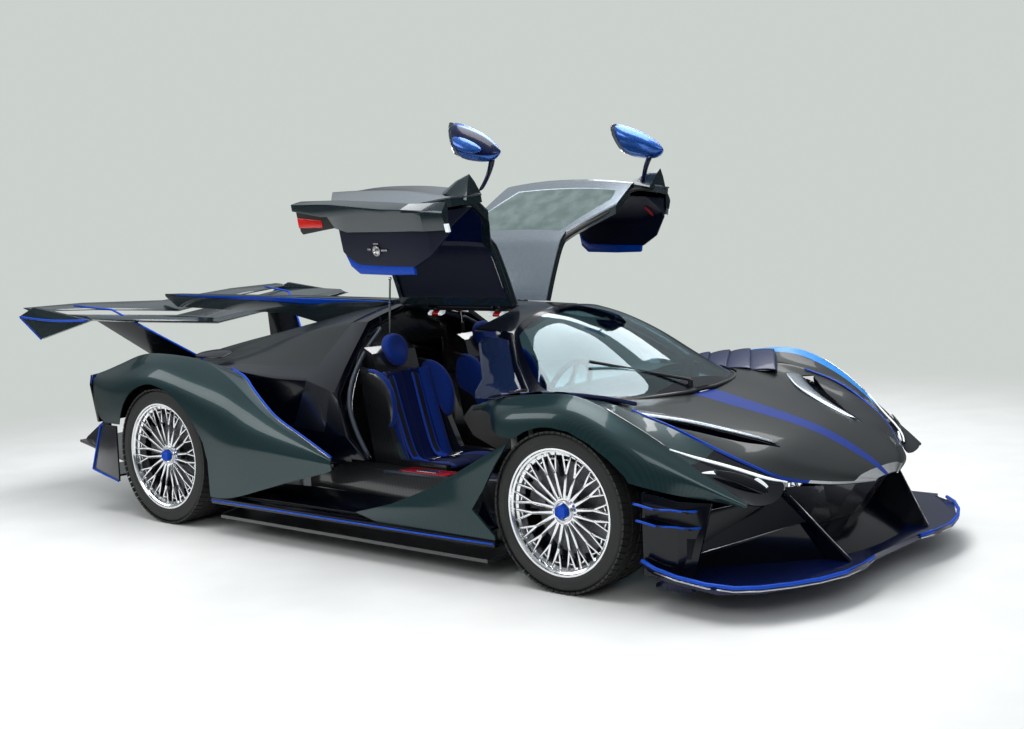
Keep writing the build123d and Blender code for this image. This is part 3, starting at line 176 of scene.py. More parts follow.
KEPT_FINISHES = {
    "underfloor": DARK_FIBRE, "front_grille": DARK_FIBRE, "tail_lamps": RED, "exhaust_pipes": BRIGHT_STEEL_AND_HIGHLIGHT,
    "front_suspension": DARK_STEEL, "rear_suspension": DARK_STEEL, "seat_shells": DARK_FIBRE,
    "steering_wheel": SATIN_BLACK, "wiper": SATIN_BLACK,
}
for side in ("left", "right"):
    KEPT_FINISHES[f"front_knuckle_{side}"] = DARK_STEEL
    KEPT_FINISHES[f"strut_barrel_{side}"] = SATIN_BLACK
    KEPT_FINISHES[f"strut_rod_{side}"] = BRIGHT_STEEL_AND_HIGHLIGHT
for name, material in KEPT_FINISHES.items():
    slots = nodes[name].material_slots
    for slot in slots:
        slot.material = material
    if not slots:
        nodes[name].data.materials.append(material)


# ---------------------------------------------------------------- making pieces
def show(thing):
    """Adds an object to the scene."""
    bpy.context.scene.collection.objects.link(thing)
    return thing


def new_piece(name, form, finishes, body="body"):
    """A named piece from a finished bmesh, riding on a body; face material numbers follow finishes."""
    mesh = bpy.data.meshes.new(name)
    form.to_mesh(mesh)
    form.free()
    piece = show(bpy.data.objects.new(name, mesh))
    for material in finishes:
        mesh.materials.append(material)
    for face in mesh.polygons:
        face.use_smooth = True
    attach(piece, body)
    return piece


def settle(piece):
    """Makes the piece's modifiers part of its mesh."""
    shape = piece.evaluated_get(bpy.context.evaluated_depsgraph_get())
    settled = bpy.data.meshes.new_from_object(shape)
    piece.modifiers.clear()
    piece.data = settled


def modify(piece, kind, **settings):
    modifier = piece.modifiers.new(kind.lower(), kind)
    for name, value in settings.items():
        setattr(modifier, name, value)


def smoothed(piece, levels, wall=0):
    """Smooths a piece, and gives an open sheet its wall in millimetres."""
    modify(piece, "SUBSURF", levels=levels, render_levels=levels)
    if wall:
        modify(piece, "SOLIDIFY", thickness=wall * MM, offset=-1)
    settle(piece)


def joined(form, distance=1e-6):
    """Joins points that lie closer than the distance in metres."""
    bmesh.ops.remove_doubles(form, verts=form.verts[:], dist=distance)
    return form


def outward(form):
    """Turns the faces of a closed form outwards."""
    bmesh.ops.recalc_face_normals(form, faces=form.faces[:])
    return form


def mirrored(form, merge_distance=-1):
    """Adds the form's copy on the other side of the car."""
    bmesh.ops.mirror(form, geom=form.verts[:] + form.edges[:] + form.faces[:], axis="Y", merge_dist=merge_distance)
    return form


def face_out(form):
    """Turns each half of an open sheet so that its faces look away from the car's middle line."""
    middle_height = 0.4
    form.normal_update()
    for side in (1, -1):
        faces = [face for face in form.faces if face.calc_center_median().y * side > 0]
        lean = 0.0
        for face in faces:
            middle = face.calc_center_median()
            lean += face.calc_area() * face.normal.dot(middle - Vector((middle.x, 0, middle_height)))
        if lean < 0:
            bmesh.ops.reverse_faces(form, faces=faces)


def lofted(rows, creases={}, paint=None, mirror=True, row_creases={}):
    """Sheet through rows of (x, y, z) points in millimetres; creases are {column: sharpness}."""
    across, along = len(rows[0]) - 1, len(rows) - 1
    form = bmesh.new()
    bmesh.ops.create_grid(form, x_segments=across, y_segments=along, size=1)
    order = sorted(form.verts, key=lambda vert: (round(vert.co.y, 4), round(vert.co.x, 4)))
    place = {}
    for index, vert in enumerate(order):
        row, column = divmod(index, across + 1)
        place[vert] = (row, column)
        vert.co = Vector(rows[row][column]) * MM
    sharp = form.edges.layers.float.new("crease_edge")
    for edge in form.edges:
        (row, column), (_, other_column) = (place[vert] for vert in edge.verts)
        edge[sharp] = creases.get(column, 0) if column == other_column else row_creases.get(row, 0)
    if paint:
        for face in form.faces:
            row = min(place[vert][0] for vert in face.verts)
            column = min(place[vert][1] for vert in face.verts)
            face.material_index = paint(row, column)
    if mirror:
        mirrored(form, 0.0005)
    face_out(form)
    return form


def at_x(x, places):
    """Points (x, y, z) from (y, z) places, all at one x."""
    return [(x, y, z) for y, z in places]


def at_y(y, places):
    """Points (x, y, z) from (x, z) places, all at one y."""
    return [(x, y, z) for x, z in places]


def moved(line, x_step=0, y_step=0, z_step=0):
    """The line's points, all moved by the same step."""
    return [(x + x_step, y + y_step, z + z_step) for x, y, z in line]


def bowed(start, end, share, lift):
    """Point between two (y, z) points, lifted to the left of the way from start to end."""
    length = hypot(end[0] - start[0], end[1] - start[1]) or 1.0
    y = start[0] + (end[0] - start[0]) * share - lift * (end[1] - start[1]) / length
    z = start[1] + (end[1] - start[1]) * share + lift * (end[0] - start[0]) / length
    return (y, z)


def raised(corners, way):
    """Closed solid over flat corners, drawn out along a way in millimetres."""
    form = bmesh.new()
    base = form.faces.new([form.verts.new(Vector(corner) * MM) for corner in corners])
    grown = bmesh.ops.extrude_face_region(form, geom=[base])["geom"]
    far_verts = [part for part in grown if isinstance(part, bmesh.types.BMVert)]
    bmesh.ops.translate(form, vec=Vector(way) * MM, verts=far_verts)
    return outward(form)


def prism(outline, y0, y1):
    """Closed prism along Y over an (x, z) outline."""
    return raised(at_y(y0, outline), (0, y1 - y0, 0))


def round_edges(form, width, angle, segments):
    """Rounds the edges where faces meet at more than the angle."""
    edges = [edge for edge in form.edges if edge.calc_face_angle(0) > radians(angle)]
    bmesh.ops.bevel(form, geom=edges, offset=width * MM, offset_type="OFFSET", affect="EDGES", segments=segments,
                    profile=0.5, clamp_overlap=True, material=-1)


def combine(piece, operation, *forms):
    """DIFFERENCE cuts closed forms out of a piece; INTERSECT keeps only what lies in them."""
    for form in forms:
        mesh = bpy.data.meshes.new("tool")
        form.to_mesh(mesh)
        form.free()
        tool = show(bpy.data.objects.new("tool", mesh))
        modify(piece, "BOOLEAN", operation=operation, solver="EXACT", object=tool)
        settle(piece)
        bpy.data.objects.remove(tool)
        bpy.data.meshes.remove(mesh)


def panel(name, rows, finishes, wall=5, creases={}, paint=None, mirror=True, cuts=(), levels=3, row_creases={}):
    """Smooth body panel with a wall, in its finishes."""
    piece = new_piece(name, lofted(rows, creases, paint, mirror, row_creases), finishes)
    smoothed(piece, levels, wall)
    combine(piece, "DIFFERENCE", *cuts)
    return piece


def sharpen(piece, angle=30):
    """Keeps edges sharper than the angle crisp, and shades the rest smooth."""
    form = bmesh.new()
    form.from_mesh(piece.data)
    for edge in form.edges:
        edge.smooth = len(edge.link_faces) == 2 and edge.calc_face_angle(0) < radians(angle)
    for face in form.faces:
        face.smooth = True
    form.to_mesh(piece.data)
    form.free()
    return piece


def wheel_arch(axle_x, axle_z, radius, flare):
    """Closed cutter for a wheel opening: round at the back, drawn out ahead by the flare's points."""
    outline = [(axle_x - radius, -10), (axle_x - radius, axle_z)]
    for turn in map(radians, range(170, 89, -8)):
        outline.append((axle_x + radius * cos(turn), axle_z + radius * sin(turn)))
    return outline + flare + [(flare[-1][0], -10)]


FRONT_AXLE, REAR_AXLE = (1463, 343.25), (-1237, 364.2)
ARCH_INSIDE, OUTSIDE = 480, 1100
FRONT_FLARE = [(1560, 694), (1660, 652), (1755, 592), (1825, 530), (1866, 455), (1880, 380)]
REAR_FLARE = [(-1140, 738), (-1040, 695), (-950, 630), (-870, 550), (-820, 470), (-795, 380)]
FRONT_ARCH = wheel_arch(*FRONT_AXLE, 362, FRONT_FLARE)
REAR_ARCH = wheel_arch(*REAR_AXLE, 392, REAR_FLARE)


def arch_cutters(outline):
    return [prism(outline, side * ARCH_INSIDE, side * OUTSIDE) for side in (1, -1)]


# ---------------------------------------------------------------- bonnet
BONNET = [  # x, stripe's half width, centre z, bulge, valley, lip, edge
    (2464, 13, 430, (60, 429), (85, 427), (104, 424), (112, 421)),
    (2430, 16, 459, (110, 457), (180, 450), (222, 437), (236, 430)),
    (2395, 18, 484, (150, 481), (250, 470), (318, 448), (332, 440)),
    (2335, 22, 518, (190, 514), (320, 498), (405, 465), (420, 456)),
    (2274, 26, 548, (215, 545), (380, 522), (485, 480), (500, 472)),
    (2210, 30, 577, (240, 574), (420, 552), (552, 524), (568, 518)),
    (2136, 34, 604, (262, 601), (470, 577), (608, 571), (624, 566)),
    (2040, 40, 630, (290, 628), (445, 603), (652, 618), (667, 616)),
    (1940, 47, 653, (320, 652), (560, 640), (684, 664), (699, 668)),
    (1860, 52, 670, (345, 672), (600, 664), (698, 698), (713, 702)),
    (1780, 58, 686, (368, 692), (620, 694), (709, 722), (724, 726)),
    (1690, 64, 706, (390, 712), (610, 720), (705, 748), (720, 752)),
    (1600, 70, 727, (410, 732), (590, 744), (699, 770), (714, 774)),
    (1440, 78, 748, (430, 752), (590, 762), (680, 786), (694, 788)),
    (1300, 82, 756, (440, 758), (590, 760), (686, 779), (700, 780)),
    (1150, 84, 760, (445, 760), (600, 757), (690, 764), (704, 764)),
]
bonnet_rows = []
for x, stripe, centre, bulge, valley, lip, edge in BONNET:
    chain = [(0, centre), (stripe, centre - 0.3), bowed((stripe, centre), bulge, 0.5, 2), bulge,
             bowed(bulge, valley, 0.5, 1.5), valley, bowed(valley, lip, 0.5, -4), lip, edge]
    bonnet_rows.append(at_x(x, chain))
SCREEN_BASE = [(1568, 0), (1562, 180), (1515, 358), (1425, 516), (1290, 624), (1150, 690), (880, 698)]


def paint_bonnet(row, column):
    if column == 0 or column == 7 and 3 <= row <= 8:
        return 1
    return 2 if column == 7 and row < 3 or row == 0 else 0


def upright_cutter(outline, foot, height):
    """Closed upright cutter over an (x, y) outline."""
    return raised([(x, y, foot) for x, y in outline], (0, 0, height))


VENT_INSIDE = [(1700, 655, 720), (1790, 560, 694), (1880, 482, 668), (1985, 420, 634), (2090, 368, 605),
               (2166, 344, 580)]
VENT_OUTSIDE = [(1742, 694, 730), (1800, 640, 702), (1880, 572, 662), (1984, 500, 628), (2077, 428, 598),
                (2172, 352, 576)]


def vent_cutters():
    """Cutters for the bonnet's two air outlets."""
    around = VENT_INSIDE + VENT_OUTSIDE[::-1]
    return [upright_cutter([(x, side * y) for x, y, _ in around], 500, 400) for side in (1, -1)]


behind_screen = SCREEN_BASE + [(600, 698), (600, -698)] + [(x, -y) for x, y in SCREEN_BASE[:0:-1]]
bonnet = panel("bonnet_skin", bonnet_rows, [GREY_FIBRE_AND_PAINTED_SHADE, STRIPE_BLUE, BRIGHT_STEEL_AND_HIGHLIGHT], paint=paint_bonnet,
               creases={7: 0.6, 8: 1.0}, cuts=[upright_cutter(behind_screen, 480, 820)] + vent_cutters())
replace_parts(bonnet, "bonnet")
sharpen(bonnet)

# ---------------------------------------------------------------- front fenders
FENDER = [  # x, ridge, crest, flank, hem
    (2258, (508, 472), (749, 426), (757, 419), (754, 409)),
    (2210, (572, 516), (768, 458), (782, 436), (772, 418)),
    (2136, (627, 565), (784, 504), (808, 462), (786, 432)),
    (2040, (668, 616), (806, 572), (858, 515), (852, 450)),
    (1940, (700, 668), (830, 640), (902, 575), (914, 478)),
    (1860, (714, 702), (852, 694), (932, 612), (944, 500)),
    (1780, (725, 726), (872, 738), (956, 645), (966, 520)),
    (1690, (721, 752), (882, 784), (964, 685), (970, 560)),
    (1600, (715, 774), (888, 818), (967, 720), (973, 600)),
    (1520, (704, 785), (890, 834), (970, 735), (975, 620)),
    (1440, (695, 788), (884, 834), (970, 735), (975, 640)),
    (1300, (700, 781), (866, 820), (958, 725), (962, 640)),
    (1150, (705, 764), (836, 798), (938, 712), (946, 640)),
    (1070, (703, 760), (806, 784), (882, 718), (884, 662)),
    (1000, (700, 757), (772, 768), (815, 726), (811, 692)),
    (925, (700, 748), (728, 753), (741, 729), (735, 706)),
    (840, (692, 724), (708, 730), (716, 716), (708, 704)),
    (792, (685, 703), (694, 705), (699, 699), (694, 692)),
]
fender_rows = []
for x, ridge, crest, flank, hem in FENDER:
    girth = hypot(flank[0] - crest[0], flank[1] - crest[1])
    edge = bowed(crest, flank, min(24 / girth, 0.3), 2)
    chain = [ridge, bowed(ridge, crest, 0.3, -0.05 * girth), bowed(ridge, crest, 0.72, -0.04 * girth), crest, edge,
             bowed(crest, flank, 0.62, 0.12 * girth), flank, hem]
    fender_rows.append(at_x(x, chain))
fender_rows[0][:3] = [(2290, 506, 462), (2284, 566, 400), (2276, 690, 406)]
fender_rows[1][:3] = [(2266, 520, 474), (2262, 582, 430), (2258, 668, 420)]
fender_rows[2][:3] = [(2216, 574, 512), (2212, 632, 478), (2208, 706, 464)]


def paint_fender(row, column):
    if column < 3 and row < 3:
        return 2
    # Painted reflection: a bright blue band along the crest, kept on the far fender only.
    if column == 2 and row < 13:
        return 1
    # Painted shade: the rest of the inner slope in the darker grey fibre, kept on the far fender only.
    return 3 if column < 3 else 0


fenders = panel("fender_skins", fender_rows, [TEAL, PAINTED_REFLECTION_BLUE, GLOSS_BLACK, GREY_FIBRE_AND_PAINTED_SHADE], paint=paint_fender,
                creases={0: 1.0, 3: 0.85, 4: 0.3, 7: 0.8}, cuts=arch_cutters(FRONT_ARCH) + vent_cutters())
# The near fender goes back to plain teal: the painted reflection band and the painted shade stay on the far fender
# only.
for face in fenders.data.polygons:
    if face.center.y < 0 and face.material_index in (1, 3):
        face.material_index = 0
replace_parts(fenders, "front_fenders")
sharpen(fenders)

# ---------------------------------------------------------------- rear quarters and engine cover
TAIL = [  # x, centre, crown, belt, duct, rim, crest, flank, waist, hem
    (122, 1130, (410, 1056), (760, 740), (640, 420), (961, 470), (966, 460), (972, 450), (974, 436), (966, 400)),
    (-100, 1124, (390, 1050), (730, 758), (640, 420), (930, 548), (954, 536), (974, 500), (984, 452), (976, 350)),
    (-340, 1112, (360, 1040), (690, 780), (640, 420), (893, 618), (936, 612), (976, 540), (988, 468), (980, 282)),
    (-500, 1092, (346, 1020), (678, 778), (640, 424), (850, 696), (918, 700), (980, 580), (994, 474), (984, 236)),
    (-617, 1075, (336, 1001), (670, 777), (640, 428), (812, 752), (902, 762), (982, 615), (996, 478), (986, 206)),
    (-720, 1055, (328, 980), (660, 782), (637, 520), (760, 792), (886, 812), (985, 660), (994, 500), (988, 192)),
    (-910, 1014, (312, 936), (642, 792), (632, 700), (644, 792), (858, 878), (986, 735), (993, 600), (990, 200)),
    (-1060, 985, (302, 903), (628, 808), (616, 730), (630, 808), (876, 900), (992, 775), (997, 690), (994, 420)),
    (-1213, 953, (292, 873), (614, 824), (600, 760), (616, 824), (890, 908), (993, 792), (997, 715), (996, 600)),
    (-1330, 930, (286, 854), (606, 826), (594, 770), (608, 826), (882, 908), (990, 790), (995, 705), (993, 560)),
    (-1450, 908, (280, 836), (598, 824), (588, 780), (600, 824), (866, 899), (984, 780), (990, 690), (988, 520)),
    (-1700, 858, (268, 804), (580, 808), (572, 770), (582, 808), (770, 858), (930, 768), (952, 690), (950, 508)),
    (-1960, 798, (256, 760), (556, 768), (550, 735), (558, 768), (690, 790), (830, 752), (852, 690), (864, 500)),
    (-2068, 770, (252, 742), (548, 746), (544, 718), (550, 746), (640, 750), (792, 746), (802, 720), (806, 690)),
]
quarter_rows, cover_rows = [], []
for x, centre, crown, belt, duct, rim, crest, flank, waist, hem in TAIL:
    lip = (rim[0] + (crest[0] - rim[0]) * 0.3, rim[1] + (crest[1] - rim[1]) * 0.3)
    if x > -800:
        lip = (rim[0] + 9, rim[1] - 1)
    chain = [rim, lip, bowed(rim, crest, 0.6, 3), crest, bowed(crest, flank, 0.45, 16 if x < -600 else 4), flank, waist,
             bowed(waist, hem, 0.5, 0), hem]
    quarter_rows.append(at_x(x, chain))
    chain = [(0, centre), (60, centre - 2), bowed((60, centre), crown, 0.55, 7), crown, bowed(crown, belt, 0.35, -10),
             bowed(crown, belt, 0.75, -14), belt, bowed(belt, duct, 0.5, 0), duct]
    if x < -300:
        cover_rows.append(at_x(min(x, -341), chain))


def paint_quarter(row, column):
    return 1 if column == 0 and row < 6 else 0


quarters = panel("rear_quarter_skins", quarter_rows, [TEAL, BLUE], paint=paint_quarter,
                 creases={0: 1.0, 1: 0.5, 3: 0.6, 6: 0.7, 8: 1.0}, cuts=arch_cutters(REAR_ARCH))
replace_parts(quarters, "rear_quarters")
sharpen(quarters)


def paint_cover(row, column):
    return 1 if column >= 6 or column == 5 and row < 9 else 0


cover = panel("engine_cover_skin", cover_rows, [GREY_FIBRE_AND_PAINTED_SHADE, GLOSS_BLACK], paint=paint_cover,
              creases={3: 0.8, 6: 0.9, 8: 1.0})
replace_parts(cover, "engine_cover")
sharpen(cover)

# ---------------------------------------------------------------- windscreen and roof
SCREEN = [
    (802, (0, 1118), (250, 1095), (340, 1062), (400, 1022)),
    (934, (0, 1092), (250, 1072), (420, 1000), (533, 905)),
    (1074, (0, 1042), (250, 1022), (480, 925), (628, 806)),
    (1150, (0, 1005), (250, 985), (510, 870), (672, 756)),
    (1290, (0, 925), (250, 905), (460, 820), (615, 752)),
    (1425, (0, 842), (240, 828), (400, 780), (508, 750)),
    (1515, (0, 786), (160, 778), (270, 760), (350, 748)),
    (1568, (0, 750), (40, 749), (70, 748), (95, 747)),
]
screen_rows = []
for x, centre, inner, outer, edge in SCREEN:
    inset = bowed(edge, outer, 36 / hypot(edge[0] - outer[0], edge[1] - outer[1]), 1)
    chain = [centre, bowed(centre, inner, 0.5, 3), inner, outer, inset, edge]
    screen_rows.append(at_x(x, chain))


def paint_screen(row, column):
    return 1 if column == 4 or row == 0 or row == 7 else 0


def between(start, end, share):
    """Point on the way from start to end."""
    return tuple(a + (b - a) * share for a, b in zip(start, end))


screen_rows.insert(1, [between(a, b, 0.22) for a, b in zip(*screen_rows[:2])])
screen = panel("windscreen_glass", screen_rows, [GLASS, GLOSS_BLACK], paint=paint_screen, creases={5: 1.0})
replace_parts(screen, "glazing")


# ---------------------------------------------------------------- drawn lines
def piping(name, points, radius, material, body="body", smooth=True, both=True):
    """Thin raised line through points in millimetres, on both sides of the car if asked."""
    drawn = bpy.data.curves.new(name, "CURVE")
    drawn.dimensions = "3D"
    drawn.bevel_depth = radius * MM
    drawn.bevel_resolution = 2
    drawn.use_fill_caps = True
    spline = drawn.splines.new("NURBS" if smooth else "POLY")
    spline.points.add(len(points) - 1)
    for point, place in zip(spline.points, points):
        point.co = (*(Vector(place) * MM), 1)
    if smooth:
        spline.order_u = 3
        spline.use_endpoint_u = True
        spline.resolution_u = 6
    temporary = show(bpy.data.objects.new(name, drawn))
    bpy.context.view_layer.update()
    form = bmesh.new()
    form.from_mesh(temporary.to_mesh())
    temporary.to_mesh_clear()
    bpy.data.objects.remove(temporary)
    joined(form)
    if both:
        mirrored(form)
    return new_piece(name, outward(form), [material], body)


screen_foot = [(x, y, z) for x, y, z in (row[5] for row in screen_rows) if z < 800]
piping("screen_seal", [(1562, 0, 742), (1562, 50, 741)] + moved(screen_foot, z_step=-8)[::-1], 10, SATIN_BLACK)

# ---------------------------------------------------------------- doors
HINGE = Matrix.Translation((0, 0.105, 1.120))
OPEN_DOOR = HINGE @ Matrix.Rotation(radians(80), 4, "X") @ HINGE.inverted()
FLIP = Matrix.Diagonal((1, -1, 1, 1))
DOOR_OUTLINE = [(584, 1180), (584, 996), (762, 822), (765, 690), (905, 640), (850, 500), (690, 382), (215, 382),
                (60, 540), (-45, 730), (-130, 920), (-180, 1048), (-215, 1180)]
WINDOW_OUTLINE = [(545, 1000), (712, 806), (700, 752), (60, 780), (-70, 890), (-105, 1000)]
DOOR = [  # x, hinge, roof edge, belt, side, hem
    (-340, (108, 1108), (360, 1040), (690, 780), (792, 560), (786, 376)),
    (-220, (108, 1114), (382, 1050), (722, 764), (797, 554), (788, 376)),
    (-100, (108, 1120), (400, 1056), (752, 748), (800, 550), (788, 376)),
    (50, (108, 1122), (414, 1056), (774, 732), (804, 540), (788, 376)),
    (200, (108, 1122), (425, 1054), (788, 718), (806, 530), (786, 376)),
    (360, (108, 1122), (430, 1049), (789, 711), (804, 520), (777, 376)),
    (520, (108, 1120), (432, 1042), (784, 706), (800, 510), (764, 376)),
    (650, (108, 1117), (423, 1035), (772, 703), (787, 505), (752, 376)),
    (780, (108, 1112), (408, 1024), (756, 700), (768, 500), (738, 376)),
    (940, (108, 1078), (396, 990), (740, 690), (748, 500), (730, 376)),
]


def inward(chain, depth):
    """The chain moved towards the cabin, square to itself."""
    inner = []
    for index, (y, z) in enumerate(chain):
        y0, z0 = chain[max(index - 1, 0)]
        y1, z1 = chain[min(index + 1, len(chain) - 1)]
        length = hypot(y1 - y0, z1 - z0)
        inner.append((y + depth * (z1 - z0) / length, z - depth * (y1 - y0) / length))
    return inner


def door_rows(depth):
    """Rows of the door's form, a depth in from its skin."""
    rows = []
    for x, *chain in DOOR:
        hinge, roof_edge, belt, side, hem = inward(chain, depth)
        rows.append(at_x(x, [hinge, bowed(hinge, roof_edge, 0.5, 7), roof_edge, bowed(roof_edge, belt, 0.5, 6), belt,
                             bowed(belt, side, 0.5, -6), side, hem]))
    return rows


def middle_of(outline):
    return sum(x for x, _ in outline) / len(outline), sum(z for _, z in outline) / len(outline)


def grown(outline, by):
    """Outline with each corner moved away from the outline's middle."""
    x0, z0 = middle_of(outline)
    return [(x + by * (x - x0) / hypot(x - x0, z - z0), z + by * (z - z0) / hypot(x - x0, z - z0)) for x, z in outline]


def scaled(outline, share):
    """Outline at a share of its size, about its middle."""
    x0, z0 = middle_of(outline)
    return [(x0 + (x - x0) * share, z0 + (z - z0) * share) for x, z in outline]


def both_doors(piece, replaces=None):
    """Turns a piece made with the left door shut to its open place, and makes the right door's copy."""
    piece.data.transform(OPEN_DOOR)
    other = show(bpy.data.objects.new(piece.name.removesuffix("_left") + "_right", piece.data.copy()))
    other.data.transform(FLIP)
    other.data.flip_normals()
    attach(other, "door_right")
    if replaces:
        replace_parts(piece, replaces + "_left")
        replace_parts(other, replaces + "_right")


SPINE_EDGE, WINDOW_SIDE = 109, 150


def door_sheets(name, depth, wall, material, creases={}, columns=slice(8), outline=DOOR_OUTLINE, hole=None,
                replaces=None):
    """Sheets of the doors' form, cut to an outline, with a hole if asked."""
    form = lofted([row[columns] for row in door_rows(depth)], creases, mirror=False)
    piece = new_piece(name, form, [material], "door_left")
    smoothed(piece, 3, wall)
    combine(piece, "INTERSECT", prism(outline, SPINE_EDGE, OUTSIDE))
    if hole:
        combine(piece, "DIFFERENCE", prism(hole, WINDOW_SIDE, OUTSIDE))
    both_doors(sharpen(piece), replaces)


PANE_COLUMNS = slice(1, 5)
# The door skins' silver is a painted reflection; the car's own paint is the teal.
door_sheets("door_skin_left", 0, 6, SILVER_PAINTED_REFLECTION, {2: 0.5, 4: 0.9, 6: 0.7}, hole=WINDOW_OUTLINE, replaces="door_shell")
door_sheets("door_lining_left", 9, 20, NAVY_SATIN, {2: 0.3, 4: 0.5}, outline=grown(DOOR_OUTLINE, -14),
            hole=grown(WINDOW_OUTLINE, 6))
door_sheets("door_border_left", 5, 34, DARK_TEAL, {2: 0.3, 4: 0.5}, outline=grown(DOOR_OUTLINE, -5),
            hole=grown(DOOR_OUTLINE, -40))
door_sheets("door_pane_left", 3, 3, PANE_OUTSIDE, columns=PANE_COLUMNS, outline=grown(WINDOW_OUTLINE, 4),
            replaces="door_glass")
door_sheets("door_pane_lining_left", 7, 4, NAVY_GLOSS, columns=PANE_COLUMNS, outline=grown(WINDOW_OUTLINE, 8))


def ring_solid(name, rings, finishes, body="door_left", bevel=0.0, levels=0, paint=None, mirror=False, smooth_by=35):
    """Closed solid through rings of (x, y, z) corners, its edges bevelled or its form smoothed."""
    form = joined(lofted([ring + ring[:1] for ring in rings], paint=paint, mirror=False))
    bmesh.ops.holes_fill(form, edges=[edge for edge in form.edges if edge.is_boundary], sides=0)
    outward(form)
    if bevel:
        round_edges(form, bevel, 20, 3)
    if mirror:
        outward(mirrored(form))
    piece = new_piece(name, form, finishes, body)
    if levels:
        smoothed(piece, levels)
    return sharpen(piece, smooth_by)


def stations(table):
    """Rings from rows of x and (y, z) corners."""
    return [at_x(x, corners) for x, *corners in table]


DOOR_RAIL = [
    (8, (757, 384), (794, 384), (794, 350), (792, 317), (760, 317), (758, 382)),
    (200, (662, 383), (791, 386), (791, 378), (788, 316), (728, 317), (726, 382)),
    (276, (640, 384), (789, 388), (789, 382), (784, 316), (728, 317), (726, 382)),
    (600, (636, 384), (768, 390), (768, 384), (752, 315), (728, 317), (726, 382)),
    (700, (636, 386), (758, 396), (758, 390), (744, 330), (728, 332), (724, 384)),
    (760, (632, 392), (750, 436), (750, 424), (724, 392), (716, 388), (700, 386)),
    (828, (620, 462), (744, 500), (742, 488), (712, 460), (700, 452), (690, 450)),
]
DOOR_TAIL = [
    (-44, (757, 400), (757, 383), (724, 383), (724, 400)),
    (-36, (757, 400), (757, 382), (650, 382), (650, 398)),
    (-24, (757, 400), (757, 382), (636, 382), (636, 398)),
    (130, (757, 400), (757, 382), (654, 382), (654, 398)),
    (206, (757, 400), (757, 383), (662, 383), (662, 400)),
]
REAR_LENS = [(-40, (716, 386), (716, 378.5), (668, 378.5), (668, 386)),
             (126, (702, 386), (702, 378.5), (666, 378.5), (666, 386))]
DOOR_BOX = [
    (203, (744, 404), (600, 404), (545, 406), (540, 420), (600, 462), (650, 560), (700, 690)),
    (232, (744, 404), (600, 404), (520, 405), (512, 420), (594, 462), (650, 560), (700, 690)),
    (295, (744, 404), (600, 404), (484, 405), (474, 420), (588, 462), (648, 560), (700, 690)),
    (480, (742, 404), (600, 404), (475, 405), (466, 420), (586, 462), (648, 560), (700, 690)),
    (650, (736, 404), (600, 404), (471, 405), (464, 420), (588, 462), (648, 560), (698, 690)),
    (745, (716, 432), (620, 430), (520, 428), (512, 440), (612, 470), (650, 560), (690, 680)),
    (822, (704, 500), (650, 486), (604, 482), (602, 492), (628, 508), (652, 570), (686, 660)),
]
DOOR_TRIM = [
    (214, (545, 406), (534, 408), (532, 424), (545, 424)),
    (236, (522, 407), (476, 409), (470, 425), (514, 425)),
    (285, (490, 407), (440, 409), (434, 426), (480, 426)),
    (480, (478, 407), (434, 409), (428, 426), (470, 426)),
    (640, (474, 407), (436, 409), (430, 426), (466, 426)),
]
STRIKER = [(826, (650, 462), (650, 452), (612, 456), (612, 466)), (840, (648, 474), (648, 462), (610, 466), (610, 478))]
rail = [(x, (inner[0], inner[1] + 16), *corners, inner) for x, inner, *corners in DOOR_RAIL]
# The door strikers glow in the glowing white: painted light, no lamp.
for name, table, material, bevel in (
        ("door_rail_left", rail, DARK_TEAL, 3), ("door_tail_left", DOOR_TAIL, SATIN_BLACK, 3),
        ("door_lamp_left", REAR_LENS, RED_LENS, 2.5), ("door_card_left", DOOR_BOX, NAVY_SATIN, 9),
        ("door_trim_left", DOOR_TRIM, BLUE, 4), ("door_striker_left", STRIKER, GLOWING_WHITE, 2)):
    both_doors(ring_solid(name, stations(table), [material], bevel=bevel))
fitting = bmesh.new()
bmesh.ops.create_cone(fitting, cap_ends=True, segments=40, radius1=0.024, radius2=0.022, depth=0.008)
lid = max(fitting.faces, key=lambda face: -face.calc_center_median().z + face.calc_area())
for thickness, depth in ((0.006, 0.0), (0.003, -0.004), (0.006, 0.002)):
    bmesh.ops.inset_region(fitting, faces=[lid], thickness=thickness, depth=depth)
for start, end in (((-0.055, 0.004), (-0.034, 0.012)), ((0.032, -0.002), (0.070, 0.006)),
                   ((-0.012, 0.03), (0.02, 0.036))):
    bar = bmesh.ops.create_cube(fitting, size=1)["verts"]
    bmesh.ops.scale(fitting, vec=(end[0] - start[0], end[1] - start[1], 0.006), verts=bar)
    bmesh.ops.translate(fitting, vec=((start[0] + end[0]) / 2, (start[1] + end[1]) / 2, 0), verts=bar)
bmesh.ops.translate(fitting, vec=(0.434, 0.548, 0.400), verts=fitting.verts[:])
both_doors(sharpen(new_piece("door_latch_left", fitting, [BRIGHT_STEEL_AND_HIGHLIGHT], "door_left")))


def on_door(x, height, depth):
    """Point of the shut door's form at x: on its side at that height, or on its roof that far from the middle."""
    roof_reach = 432
    sheet = door_rows(depth)
    near, far = next(pair for pair in zip(sheet, sheet[1:]) if pair[0][0][0] <= x <= pair[1][0][0])
    share = (x - near[0][0]) / (far[0][0] - near[0][0])
    chain = [between(p, q, share) for p, q in zip(near, far)]
    axis = 1 if height < roof_reach else 2
    for start, end in zip(chain, chain[1:]):
        low, high = sorted((start[axis], end[axis]))
        if low <= height <= high:
            return (x, *between(start[1:], end[1:], (height - start[axis]) / (end[axis] - start[axis])))
    return (x, *chain[-1][1:])


